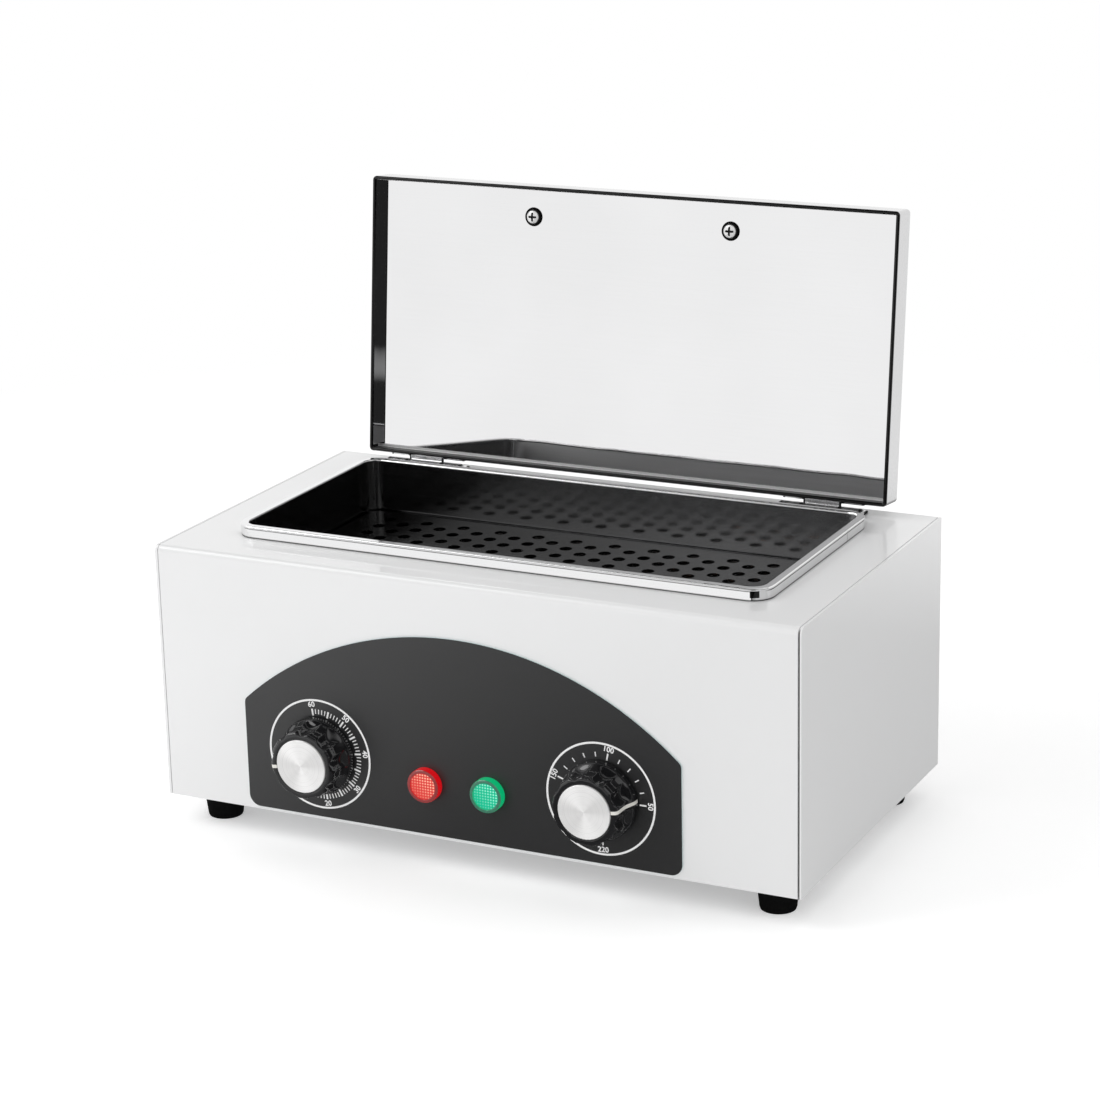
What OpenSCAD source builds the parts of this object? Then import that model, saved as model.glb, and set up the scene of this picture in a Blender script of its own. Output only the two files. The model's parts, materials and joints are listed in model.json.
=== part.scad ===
// Bench dry heat sterilizer: a painted sheet-steel housing with a sunk stainless
// chamber, a perforated tray over a tubular heater and a hinged lid that stands open.
// Millimetres. X runs left to right, Y front to back, Z up. The origin is under the
// middle of the open appliance, on the surface it stands on.

/* [Housing] */
// Width of the housing's top beside the rim, on each side
side_shelf = 25.8; // [22:0.2:36]
// Depth of the housing's top behind the rim, where the hinges sit
rear_shelf = 21.6; // [20:0.2:30]
// Height of the housing without its feet
body_h = 120; // [114:1:140]
// Thickness of the painted steel sheet
sheet_t = 1.2; // [1:0.1:1.4]
// Outer radius of the bend between front and top
bend_r = 3; // [2:0.5:5]
// Width of the return flanges on the side panels
flange_w = 10; // [8:0.5:12]
// Gap between the side panels and the wrapped sheet
seam_gap = 0.4; // [0.3:0.1:0.6]

/* [Feet] */
// Diameter of a foot where it meets the base
foot_d = 19; // [15:0.5:20]
// Height of the housing above the bench
foot_h = 14; // [9:0.5:20]
// Distance from a side panel to a foot's centre
foot_inset_x = 18; // [17.5:0.5:26]
// Distance from the front or the rear to a foot's centre
foot_inset_y = 19; // [18.5:0.5:28]

/* [Chamber] */
// Inner length of the chamber
chamber_w = 255; // [240:1:258]
// Inner width of the chamber
chamber_d = 119; // [108:1:120]
// Inner depth of the chamber below its top edge
chamber_depth = 48; // [46:1:52]
// Inner radius of the chamber's upright corners
chamber_r = 7; // [5:0.5:10]
// Thickness of the chamber's stainless sheet
tank_t = 0.8; // [0.6:0.1:1]
// Height of the chrome rim above the housing
rim_h = 5.6; // [4.8:0.2:7]
// Distance from the front face to the rim
rim_setback = 25; // [24:1:30]

/* [Tray] */
// Depth of the tray's surface below the rim
tray_drop = 25.5; // [23:0.5:26]
// Thickness of the tray's sheet
tray_t = 1; // [0.8:0.1:1.2]
// Height of the tray's turned-down edge
tray_lip = 4; // [3:0.5:5]
// Clearance between the tray and the chamber on each side
tray_gap = 0.8; // [0.5:0.1:1.2]
// Diameter of one perforation
hole_d = 6; // [4:0.5:7]
// Distance between neighbouring perforations
hole_pitch = 11.5; // [10:0.5:14]

/* [Heater] */
// Diameter of the heater's sheath
heater_d = 7; // [6:0.5:8]
// Number of long runs of the heater
heater_runs = 4; // [2:2:4]
// Height of the sheath's centre above the chamber's floor
heater_rise = 8.5; // [7:0.5:9]

/* [Lid] */
// Angle between the closed and the open lid
lid_open = 96; // [88:1:100]
// Mean clearance between the rim and the lid's skirt at front and back
lid_gap = 3.5; // [3:0.1:4]
// Clearance between the rim and the lid's skirt at the sides
lid_side_gap = 2.7; // [2:0.1:3.5]
// Height of the lid from its free edge to its top
lid_h = 16; // [15:0.5:22]
// Thickness of the lid's stainless sheet
lid_t = 1; // [0.8:0.1:1.2]
// Thickness of the rolled edge round the lid
hem_t = 1.8; // [1.6:0.1:2]
// Depth of the polished lining below the free edge
liner_recess = 6.8; // [6.6:0.1:8]
// Distance between the two handle posts
handle_pitch = 101; // [80:1:130]
// Height of the handle's bar above the lid
handle_rise = 24; // [20:1:32]

/* [Hinges] */
// Length of one hinge over its three knuckles
hinge_len = 39.5; // [28:0.5:42]
// Distance from the middle of the lid to the middle of a hinge
hinge_off = 103; // [80:1:106]
// Distance from the hinge line to the lid's skirt
skirt_off = 3.7; // [3.6:0.1:5]
// Outer diameter of the knuckles
knuckle_d = 3.6; // [3.4:0.1:3.8]
// Diameter of the hinge pins
pin_d = 1.6; // [1.4:0.1:1.8]
// Thickness of the hinge leaves
leaf_t = 0.8; // [0.7:0.1:0.9]

/* [Control panel] */
// Width of the arched panel
panel_w = 215; // [205:1:230]
// Height of the arched panel at its middle
panel_h = 93; // [88:1:98]
// Height of the panel's straight sides
shoulder_h = 51; // [44:1:58]
// Thickness of the panel
panel_t = 0.8; // [0.5:0.1:1.2]
// Sideways shift of the panel from the middle of the housing
panel_shift = -5; // [-10:1:5]
// Distance between the two knobs
dial_pitch = 139; // [130:1:150]
// Height of the knobs above the housing's lower edge
dial_z = 31.6; // [30:0.2:36]
// Distance between the two lamps
lamp_pitch = 31; // [26:1:40]
// Height of the lamps above the housing's lower edge
lamp_z = 25.6; // [20:0.2:34]
// Diameter of a lamp's lens
lamp_d = 15.5; // [13:0.5:18]

/* [Knobs] */
// Diameter of a knob at the panel
knob_d = 36; // [33:0.5:38]
// Height of a knob without its cap
knob_h = 16; // [14:0.5:20]
// Diameter of the spun aluminium cap
cap_d = 24.6; // [22:0.2:26]
// Number of finger scallops round a knob
scallops = 12; // [8:1:14]
// Diameter of the control shafts
shaft_d = 6; // [5:0.5:6.5]
// Angle of the thermostat's pointer, counter-clockwise from the right
thermostat_at = 7; // [0:1:272]
// Angle of the timer's pointer, counter-clockwise from the right
timer_at = 188; // [0:1:360]

/* [Hidden] */
$fn = 64;
eps = 0.01;

// chamber, rim, opening and the housing round them
tank_w = chamber_w + 2 * tank_t;
tank_d = chamber_d + 2 * tank_t;
tank_r = chamber_r + tank_t;
rim_wall = 1;
rim_step = 0.25;
rim_side = 2.4;
rim_w = tank_w + 2 * rim_side;
rim_d = tank_d + 2 * rim_side;
rim_r = tank_r + rim_side;
rim_cap = 1.4;
ledge_w = rim_side - rim_step - rim_wall - 0.05;
mouth_gap = 0.4;
body_w = rim_w + 2 * side_shelf;
body_d = rim_setback + rim_d + rear_shelf;
tank_y = rim_setback + rim_d / 2;
tank_top = body_h + rim_h - rim_cap;
tank_floor = tank_top - chamber_depth;
bottom_r = 4;

// tray and heater
tray_w = chamber_w - 2 * tray_gap;
tray_d = chamber_d - 2 * tray_gap;
tray_r = chamber_r - tray_gap;
tray_z = body_h + rim_h - tray_drop;
rail_w = 6;
rail_h = 4;
tray_bend = tray_t + 1;
field_w = tray_w - 2 * (rail_w + hole_d / 2 + 1);
field_d = tray_d - 2 * (tray_t + hole_d / 2 + 3);
col_step = hole_pitch * cos(30);
cols = floor(field_w / col_step / 2) * 2 + 1;
rows = floor(field_d / hole_pitch) + 1;
heater_z = tank_floor + heater_rise;
run_pitch = (chamber_d - 44) / (heater_runs - 1);
run_end = chamber_w / 2 - 14 - run_pitch / 2;
stud_d = 4;
wall_x = tank_w / 2;
bulb_d = 4.6;
bulb_x = 62;
bulb_len = 46;
bulb_z = heater_z + heater_d / 2 + 2;
insul_t = 9;

// control shafts
dial_x = [panel_shift - dial_pitch / 2, panel_shift + dial_pitch / 2];
lamp_x = [panel_shift - lamp_pitch / 2, panel_shift + lamp_pitch / 2];
panel_z = 1.6;
panel_y = -panel_t;
bushing_d = 9;
bushing_out = 5;
knob_gap = 0.8;
knob_y = panel_y - knob_gap;
cap_t = 1;
scallop_r = 4.6;
scallop_in = 1.1;
cap_sink = 0.6;
bore_gap = 0.05;
control_depth = 26;

// lid, in a frame whose origin is the hinge axis with the lid closed
axis_h = knuckle_d / 2 + 0.25;
edge_gap = 2;
hinge_y = rim_setback + rim_d + lid_gap + lid_t + skirt_off;
hinge_z = body_h + axis_h;
edge_z = edge_gap - axis_h;
lid_w = rim_w + 2 * (lid_side_gap + lid_t);
lid_d = rim_d + 2 * (lid_gap + lid_t);
lid_near = -skirt_off;
lid_far = lid_near - lid_d;
lid_top = edge_z + lid_h;
liner_t = 0.6;
liner_z = edge_z + liner_recess;
post_inset = 14.9;
post_y = lid_far + post_inset;
bar_r = 5;
post_r = 6;
bar_z = lid_top + handle_rise - bar_r;
screw_d = 4;

// whole appliance, with the lid open
reach_back = hinge_y + bar_z * sin(lid_open) - post_y * -cos(lid_open) + bar_r;
reach_front = knob_y - knob_h - cap_t + cap_sink;
shift_y = -(reach_back + reach_front) / 2;

// frames

module stand() {
    translate([0, shift_y, foot_h])
        children();
}

module lid_frame() {
    stand()
        translate([0, hinge_y, hinge_z])
            rotate([-lid_open, 0, 0])
                children();
}

module both_sides() {
    for (s = [-1, 1])
        scale([s, 1, 1])
            children();
}

// shared shapes

module rrect(w, d, r) {
    square([w, d - 2 * r], center = true);
    square([w - 2 * r, d], center = true);
    for (sx = [-1, 1], sy = [-1, 1])
        translate([sx * (w / 2 - r), sy * (d / 2 - r)])
            circle(r);
}

// sweeps a section round a rounded rectangle; the section's x runs inwards from the edge
module ring_sweep(w, d, r) {
    for (a = [0, 180])
        rotate([0, 0, a]) {
            translate([w / 2, 0, 0])
                rotate([90, 0, 0])
                    linear_extrude(d - 2 * r, center = true)
                        mirror([1, 0])
                            children();
            translate([0, d / 2, 0])
                rotate([90, 0, 90])
                    linear_extrude(w - 2 * r, center = true)
                        mirror([1, 0])
                            children();
        }
    for (q = [0:3]) {
        sx = (q == 0 || q == 3) ? 1 : -1;
        sy = q < 2 ? 1 : -1;
        translate([sx * (w / 2 - r), sy * (d / 2 - r), 0])
            rotate([0, 0, 90 * q])
                rotate_extrude(angle = 90)
                    intersection() {
                        translate([r, 0])
                            mirror([1, 0])
                                children();
                        translate([0, -body_h])
                            square([r + eps, 2 * body_h]);
                    }
    }
}

module slot_row(count, pitch, length, width) {
    for (i = [0:count - 1])
        translate([(i - (count - 1) / 2) * pitch, 0]) {
            square([width, length - width], center = true);
            for (s = [-1, 1])
                translate([0, s * (length - width) / 2])
                    circle(width / 2);
        }
}

// a screw along +Z with its seat at z = 0: rounded head above, shank below
module pan_screw(shank, length, head, head_h) {
    difference() {
        rotate_extrude()
            intersection() {
                union() {
                    translate([0, 0])
                        square([head / 2, head_h * 0.45]);
                    translate([0, head_h - head * 0.8])
                        circle(head * 0.8);
                }
                square([head / 2, head_h]);
            }
        for (a = [0, 90])
            rotate([0, 0, a])
                translate([-head * 0.3, -0.4, head_h * 0.4])
                    cube([head * 0.6, 0.8, head_h]);
    }
    translate([0, 0, -length])
        cylinder(length + eps, d = shank);
}

// housing

module wrap_profile() {
    difference() {
        union() {
            square([body_d, body_h - bend_r]);
            translate([bend_r, 0])
                square([body_d - bend_r, body_h]);
            translate([bend_r, body_h - bend_r])
                circle(bend_r);
        }
        translate([sheet_t, sheet_t])
            square([body_d - 2 * sheet_t, body_h - bend_r - sheet_t]);
        translate([bend_r, sheet_t])
            square([body_d - bend_r - sheet_t, body_h - 2 * sheet_t]);
        translate([bend_r, body_h - bend_r])
            circle(bend_r - sheet_t);
        translate([fold_w, -1])
            square([body_d, sheet_t + 2]);
        translate([body_d / 2, -1])
            square([body_d, body_h - 11]);
    }
}
fold_w = foot_inset_y - foot_d / 2 - 0.8;

module housing_wrap() {
    color("whitesmoke")
        stand()
            difference() {
                rotate([90, 0, 90])
                    linear_extrude(body_w - 2 * (sheet_t + seam_gap), center = true)
                        wrap_profile();
                translate([0, tank_y, body_h - 3])
                    linear_extrude(6)
                        rrect(tank_w + 2 * mouth_gap, tank_d + 2 * mouth_gap, tank_r + mouth_gap);
                for (x = dial_x)
                    translate([x, -1, dial_z])
                        rotate([-90, 0, 0])
                            cylinder(4, d = bushing_d + 0.4);
                for (x = lamp_x)
                    translate([x, -1, lamp_z])
                        rotate([-90, 0, 0])
                            cylinder(4, d = lamp_d - 3.2);
            }
}

module cheek_outline(inset) {
    difference() {
        translate([inset, inset])
            square([body_d - 2 * inset, body_h - 2 * inset]);
        translate([inset - 1, body_h - bend_r])
            square([bend_r - inset + 1, bend_r + 1]);
    }
    translate([bend_r, body_h - bend_r])
        circle(bend_r - inset);
}

// right-hand panel: an outer sheet with return flanges tucked under the wrap
module side_panel() {
    face_x = body_w / 2 - sheet_t;
    translate([face_x, 0, 0])
        rotate([90, 0, 90])
            linear_extrude(sheet_t)
                cheek_outline(0);
    translate([face_x - flange_w, 0, 0])
        rotate([90, 0, 90])
            linear_extrude(flange_w + eps)
                difference() {
                    union() {
                        translate([sheet_t, fold_top])
                            square([sheet_t, body_h - bend_r - fold_top]);
                        translate([bend_r, body_h - 2 * sheet_t])
                            square([body_d - bend_r - 2 * sheet_t, sheet_t]);
                        translate([body_d - 3 * sheet_t, fold_top])
                            square([sheet_t, body_h - sheet_t - fold_top]);
                        intersection() {
                            translate([bend_r, body_h - bend_r])
                                difference() {
                                    circle(bend_r - sheet_t);
                                    if (bend_r > 2 * sheet_t)
                                        circle(bend_r - 2 * sheet_t);
                                }
                            translate([0, body_h - bend_r])
                                square(bend_r);
                        }
                    }
                }
    translate([face_x - side_fold, fold_w + 1, 0])
        cube([side_fold + eps, body_d - fold_w - 1 - 2 * sheet_t, sheet_t]);
}

module drilled_side_panel() {
    difference() {
        side_panel();
        for (z = rear_screw_z)
            translate([rear_screw_x, rear_y - 2 * sheet_t, z])
                rotate([-90, 0, 0])
                    cylinder(4 * sheet_t, d = rear_screw_d + screw_gap);
        for (y = base_screw_y)
            translate([base_screw_x, y, -1])
                cylinder(2 * sheet_t, d = base_screw_d + screw_gap);
    }
}
fold_top = 3 * sheet_t;
side_fold = foot_inset_x - sheet_t - foot_d / 2 - 0.5;

module side_panel_right() {
    color("gainsboro")
        stand()
            drilled_side_panel();
}

module side_panel_left() {
    color("gainsboro")
        stand()
            mirror([1, 0, 0])
                drilled_side_panel();
}

rear_y = body_d - 2 * sheet_t;
inside_w = body_w - 2 * sheet_t - 2 * seam_gap;
rear_screw_d = 2.9;
base_screw_d = 2.4;
screw_gap = 0.2;
rear_screw_inset = 5;
rear_screw_x = inside_w / 2 - rear_screw_inset;
rear_screw_z = [22, body_h - 26];
grommet_inset = 42;
grommet_x = inside_w / 2 - grommet_inset;
grommet_z = 24;
vent_slots = 9;
vent_pitch = 7;
vent_w = 3;
rear_vent_x = 82;
rear_vent_len = 26;
rear_vent_drop = 4;
base_vent_x = 60;
base_vent_len = 36;
base_vent_y = 106.6;

module rear_panel() {
    color("whitesmoke")
        stand()
            translate([0, rear_y, 0])
                difference() {
                    translate([-inside_w / 2, 0, 2 * sheet_t])
                        cube([inside_w, sheet_t, body_h - 3 * sheet_t]);
                    for (x = [-rear_vent_x, 0, rear_vent_x])
                        translate([x, -1, body_h / 2 - rear_vent_drop])
                            rotate([-90, 0, 0])
                                linear_extrude(4)
                                    slot_row(vent_slots, vent_pitch, rear_vent_len, vent_w);
                    translate([grommet_x, -1, grommet_z])
                        rotate([-90, 0, 0])
                            cylinder(4, d = 12.2);
                    for (s = [-1, 1], z = rear_screw_z)
                        translate([s * rear_screw_x, -1, z])
                            rotate([-90, 0, 0])
                                cylinder(4, d = rear_screw_d + screw_gap);
                }
}

base_screw_inset = 40;
base_screw_x = body_w / 2 - sheet_t - side_fold / 2;
base_screw_y = [base_screw_inset, body_d / 2, body_d - base_screw_inset];

module foot_places() {
    for (sx = [-1, 1], y = [foot_inset_y, body_d - foot_inset_y])
        translate([sx * (body_w / 2 - foot_inset_x), y, 0])
            children();
}

module base_plate() {
    color("silver")
        stand()
            difference() {
                translate([-inside_w / 2, 2 * sheet_t, sheet_t])
                    cube([inside_w, rear_y - 2 * sheet_t, sheet_t]);
                for (x = [-base_vent_x, base_vent_x])
                    translate([x, base_vent_y, 0])
                        linear_extrude(4)
                            slot_row(vent_slots, vent_pitch, base_vent_len, vent_w);
                foot_places()
                    cylinder(6, d = 4.4);
            }
}

module housing_screws() {
    color("silver")
        stand() {
            for (s = [-1, 1], z = rear_screw_z)
                translate([s * rear_screw_x, rear_y + sheet_t, z])
                    rotate([-90, 0, 0])
                        pan_screw(rear_screw_d, 2.4, 5.6, 2);
            for (s = [-1, 1], y = base_screw_y)
                translate([s * base_screw_x, y, 0])
                    rotate([180, 0, 0])
                        pan_screw(base_screw_d, 0.6, 5, 1.8);
        }
}

module cord_grommet() {
    color("black")
        stand()
            translate([grommet_x, rear_y, grommet_z])
                rotate([-90, 0, 0])
                    rotate_extrude()
                        difference() {
                            union() {
                                translate([3.6, -3])
                                    square([4.9, 3]);
                                translate([3.6, -1])
                                    square([2.4, sheet_t + 2]);
                                translate([3.6, sheet_t])
                                    square([4.9, 2.4]);
                                translate([3.6, sheet_t + 2])
                                    square([3, 4]);
                            }
                            translate([9, sheet_t + 2.9])
                                circle(0.8);
                        }
}

module feet() {
    color([0.09, 0.09, 0.1])
        stand()
            foot_places()
                difference() {
                    translate([0, 0, -foot_h])
                        rotate_extrude()
                            difference() {
                                polygon([
                                    [0, 0], [foot_d * 0.41, 0], [foot_d * 0.43, 1],
                                    [foot_d / 2, foot_h - 2], [foot_d / 2, foot_h + sheet_t],
                                    [0, foot_h + sheet_t]
                                ]);
                                translate([-eps, -1])
                                    square([3.8, 5]);
                                translate([-eps, 0])
                                    square([2.1, foot_h + 2]);
                            }
                }
}

module foot_screws() {
    color("silver")
        stand()
            foot_places()
                translate([0, 0, -foot_h + 4])
                    rotate([180, 0, 0])
                        pan_screw(screw_d, foot_h - 4 + 2 * sheet_t + 3, 7, 2.2);
}

// chamber

module chamber_tank() {
    color("silver")
        stand()
            translate([0, tank_y, 0])
                difference() {
                    union() {
                        translate([0, 0, tank_floor - tank_t])
                            ring_sweep(tank_w, tank_d, tank_r) {
                                union() {
                                    translate([0, bottom_r])
                                        square([tank_t, chamber_depth + tank_t - bottom_r]);
                                    translate([bottom_r, 0])
                                        square([tank_r - bottom_r, tank_t]);
                                    translate([bottom_r, bottom_r])
                                        intersection() {
                                            difference() {
                                                circle(bottom_r);
                                                circle(bottom_r - tank_t);
                                            }
                                            translate([-bottom_r, -bottom_r])
                                                square(bottom_r);
                                        }
                                }
                            }
                        translate([0, 0, tank_floor - tank_t])
                            linear_extrude(tank_t)
                                difference() {
                                    square([tank_w - 2 * bottom_r, tank_d - 2 * tank_r], center = true);
                                }
                        for (s = [-1, 1])
                            translate([0, s * (tank_d / 2 - tank_r), tank_floor - tank_t])
                                linear_extrude(tank_t)
                                    square([tank_w - 2 * tank_r, eps], center = true);
                        translate([0, 0, body_h])
                            linear_extrude(tank_t)
                                difference() {
                                    rrect(tank_w + 2 * ledge_w, tank_d + 2 * ledge_w, tank_r + ledge_w);
                                    rrect(tank_w - tank_t, tank_d - tank_t, tank_r - tank_t / 2);
                                }
                    }
                    heater_ends()
                        cylinder(20, d = heater_d + 0.6);
                    translate([wall_x - 5, 0, bulb_z])
                        rotate([0, 90, 0])
                            cylinder(10, d = 3.4);
                }
}

module heater_ends() {
    for (s = [-1, 1])
        translate([wall_x - 10, s * run_pitch * (heater_runs - 1) / 2, heater_z])
            rotate([0, 90, 0])
                children();
}

module rim_section() {
    translate([rim_step, 0])
        square([rim_wall, rim_h - rim_cap / 2]);
    translate([rim_cap / 2, rim_h - rim_cap])
        square([rim_side + tank_t - rim_cap / 2, rim_cap]);
    translate([rim_cap / 2, rim_h - rim_cap / 2])
        circle(rim_cap / 2);
    translate([rim_side + tank_t, rim_h - rim_cap / 2])
        circle(rim_cap / 2);
}

module chamber_rim() {
    color("lightgray")
        stand()
            translate([0, tank_y, body_h])
                difference() {
                    ring_sweep(rim_w, rim_d, rim_r)
                        rim_section();
                    translate([rim_w / 2 - 2, rim_d * 0.26, -1])
                        cube([4, 0.3, rim_h + 2]);
                }
}

module chamber_insulation() {
    color("khaki")
        stand()
            translate([0, tank_y, 0])
                difference() {
                    translate([0, 0, tank_floor - tank_t - insul_t])
                        linear_extrude(chamber_depth - 14)
                            rrect(tank_w + 2 * insul_t, tank_d + 2 * insul_t, tank_r + insul_t);
                    translate([0, 0, tank_floor - tank_t])
                        linear_extrude(chamber_depth)
                            rrect(tank_w + 0.4, tank_d + 0.4, tank_r + 0.2);
                    heater_ends()
                        cylinder(60, d = 18);
                    translate([wall_x - 5, 0, bulb_z])
                        rotate([0, 90, 0])
                            cylinder(30, d = 3.4);
                }
}

module tray_rails() {
    color("silver")
        stand()
            translate([0, tank_y, tray_z - tray_lip])
                both_sides()
                    translate([chamber_w / 2, 0, 0])
                        rotate([90, 0, 0])
                            linear_extrude(chamber_d - 2 * chamber_r - 4, center = true)
                                union() {
                                    translate([-tank_t, -rail_h])
                                        square([tank_t, rail_h]);
                                    translate([-rail_w, -tank_t])
                                        square([rail_w, tank_t]);
                                }
}

module tray() {
    color([0.35, 0.35, 0.37])
        stand()
            translate([0, tank_y, tray_z]) {
                translate([0, 0, -tray_t])
                    linear_extrude(tray_t)
                        difference() {
                            rrect(tray_w - 2 * tray_bend, tray_d - 2 * tray_bend, tray_r - tray_bend);
                            for (i = [0:cols - 1], j = [0:rows - 1 - i % 2])
                                translate([
                                    (i - (cols - 1) / 2) * col_step,
                                    (j - (rows - 1 - i % 2) / 2) * hole_pitch
                                ])
                                    circle(hole_d / 2, $fn = 24);
                        }
                ring_sweep(tray_w, tray_d, tray_r) {
                    union() {
                        translate([0, -tray_lip])
                            square([tray_t, tray_lip - tray_bend]);
                        intersection() {
                            translate([tray_bend, -tray_bend])
                                difference() {
                                    circle(tray_bend);
                                    circle(tray_bend - tray_t);
                                }
                            translate([0, -tray_bend])
                                square([tray_bend, tray_bend]);
                        }
                        translate([tray_bend - eps, -tray_t])
                            square([2 * eps, tray_t]);
                    }
                }
            }
}

// heater

module heater_element() {
    $fn = 56;
    first = -run_pitch * (heater_runs - 1) / 2;
    color("dimgray")
        stand()
            translate([0, tank_y, heater_z]) {
                for (i = [0:heater_runs - 1]) {
                    outer = i == 0 || i == heater_runs - 1;
                    right = outer ? wall_x + 12 : run_end;
                    translate([-run_end, first + i * run_pitch, 0])
                        rotate([0, 90, 0])
                            cylinder(right + run_end, d = heater_d);
                    if (outer)
                        translate([right, first + i * run_pitch, 0])
                            rotate([0, 90, 0])
                                cylinder(9, d = stud_d);
                }
                for (i = [0:heater_runs - 2]) {
                    side = i % 2 == 0 ? -1 : 1;
                    translate([side * run_end, first + (i + 0.5) * run_pitch, 0])
                        rotate([0, 0, side > 0 ? -90 : 90])
                            rotate_extrude(angle = 180)
                                translate([run_pitch / 2, 0])
                                    circle(heater_d / 2);
                }
            }
}

module heater_clips() {
    height = bulb_z - tank_floor + bulb_d / 2 + 0.8;
    length = chamber_d - 26;
    color("silver")
        stand()
            translate([0, tank_y, tank_floor])
                for (x = [-bulb_x, bulb_x])
                    translate([x, 0, 0])
                        difference() {
                            union() {
                                translate([-0.6, -length / 2, 0])
                                    cube([1.2, length, height]);
                                translate([-0.6, -length / 2, 0])
                                    cube([9, length, 1]);
                            }
                            for (i = [0:heater_runs - 1])
                                translate([-2, (i - (heater_runs - 1) / 2) * run_pitch, heater_rise])
                                    rotate([0, 90, 0])
                                        cylinder(4, d = heater_d + 0.1);
                            if (x > 0)
                                translate([-2, 0, bulb_z - tank_floor])
                                    rotate([0, 90, 0])
                                        cylinder(4, d = bulb_d + 0.1);
                        }
}
module heater_bushings() {
    color("ivory")
        stand()
            translate([0, tank_y, 0])
                heater_ends() {
                    translate([0, 0, 10])
                        difference() {
                            union() {
                                cylinder(2, d = 14);
                                cylinder(8, d = 11, $fn = 6);
                            }
                            translate([0, 0, -1])
                                cylinder(20, d = heater_d + 0.1);
                        }
                    translate([0, 0, 22])
                        difference() {
                            cylinder(4, d = 9);
                            translate([0, 0, -1])
                                cylinder(20, d = stud_d + 0.1);
                        }
                }
}

module tube(a, b, d) {
    v = b - a;
    l = norm(v);
    translate(a)
        rotate([0, acos(v[2] / l), atan2(v[1], v[0])])
            cylinder(l, d = d);
}

module thermostat_capillary() {
    out_x = wall_x + insul_t + 4;
    low_z = dial_z + 12;
    path = [
        [bulb_x + bulb_len / 2, tank_y, bulb_z],
        [out_x, tank_y, bulb_z],
        [out_x, tank_y, low_z],
        [out_x, sheet_t + control_depth / 2, low_z],
        [dial_x[1] + 19, sheet_t + control_depth / 2, low_z]
    ];
    color("peru")
        stand() {
            translate([bulb_x - bulb_len / 2, tank_y, bulb_z])
                rotate([0, 90, 0])
                    cylinder(bulb_len, d = bulb_d);
            for (i = [0:len(path) - 2])
                tube(path[i], path[i + 1], 1.6);
            for (i = [1:len(path) - 2])
                translate(path[i])
                    sphere(d = 1.6, $fn = 24);
        }
}

// control panel

module arch_outline() {
    foot_r = 5.5;
    crown_r = 3.5;
    half = panel_w / 2;
    rise = panel_h - shoulder_h;
    big_r = (half * half + rise * rise) / (2 * rise);
    big_z = panel_h - big_r;
    fillet_x = half - crown_r;
    fillet_z = big_z + sqrt(pow(big_r - crown_r, 2) - fillet_x * fillet_x);
    touch_x = fillet_x * big_r / (big_r - crown_r);
    intersection() {
        translate([0, big_z])
            circle(big_r, $fn = 256);
        translate([-touch_x, foot_r])
            square([2 * touch_x, panel_h]);
    }
    translate([-half, foot_r])
        square([2 * half, fillet_z - foot_r]);
    translate([-half + foot_r, 0])
        square([2 * (half - foot_r), foot_r * 2]);
    for (s = [-1, 1]) {
        translate([s * fillet_x, fillet_z])
            circle(crown_r);
        translate([s * (half - foot_r), foot_r])
            circle(foot_r);
    }
}

module control_panel() {
    color([0.27, 0.27, 0.28])
        stand()
            rotate([90, 0, 0])
                linear_extrude(panel_t)
                    difference() {
                        translate([panel_shift, panel_z])
                            arch_outline();
                        for (x = dial_x)
                            translate([x, dial_z])
                                circle(d = bushing_d + 0.4);
                        for (x = lamp_x)
                            translate([x, lamp_z])
                                circle(d = lamp_d - 3.2);
                    }
}

module control_frame(side) {
    stand()
        translate([dial_x[side], 0, dial_z])
            rotate([90, 0, 0])
                children();
}

// bushing and case of a control; its local Z points out of the panel
module control_bushing() {
    difference() {
        union() {
            translate([0, 0, -sheet_t - 4])
                cylinder(4, d = 14);
            translate([0, 0, -sheet_t - 1])
                cylinder(sheet_t + 1 + panel_t + bushing_out, d = bushing_d);
        }
        translate([0, 0, -sheet_t - 6])
            cylinder(30, d = shaft_d + 2 * bore_gap);
    }
}

module shaft_bore() {
    translate([0, 0, -sheet_t - 22])
        cylinder(24, d = shaft_d + 2 * bore_gap);
}

module thermostat_body() {
    color("tan")
        control_frame(1) {
            control_bushing();
            difference() {
                union() {
                    translate([-19, -17, -sheet_t - 4 - 12])
                        cube([38, 34, 12]);
                    translate([-16, -14, -sheet_t - control_depth])
                        cube([32, 28, 10 + eps]);
                    for (y = [-8, 8])
                        translate([-4, y - 0.4, -sheet_t - control_depth - 7])
                            cube([6.3, 0.8, 7 + eps]);
                }
                shaft_bore();
            }
        }
}

module timer_body() {
    color("silver")
        control_frame(0) {
            control_bushing();
            difference() {
                union() {
                    translate([0, 0, -sheet_t - 4 - 18])
                        cylinder(18, r = 21);
                    translate([-12, -9, -sheet_t - control_depth])
                        cube([24, 18, 4 + eps]);
                    for (y = [-5, 5])
                        translate([-4, y - 0.4, -sheet_t - control_depth - 7])
                            cube([6.3, 0.8, 7 + eps]);
                }
                shaft_bore();
            }
        }
}

shaft_back = sheet_t + 12;
shaft_front = panel_t + knob_gap + knob_h - 4;

module control_shaft() {
    difference() {
        translate([0, 0, -shaft_back])
            cylinder(shaft_back + shaft_front, d = shaft_d);
        translate([-shaft_d, shaft_d / 2 - 1, panel_t + bushing_out + 1])
            cube([2 * shaft_d, shaft_d, shaft_front]);
    }
}

module thermostat_shaft() {
    color("silver")
        control_frame(1)
            rotate([0, 0, thermostat_at])
                control_shaft();
}

module timer_shaft() {
    color("silver")
        control_frame(0)
            rotate([0, 0, timer_at])
                control_shaft();
}

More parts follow.
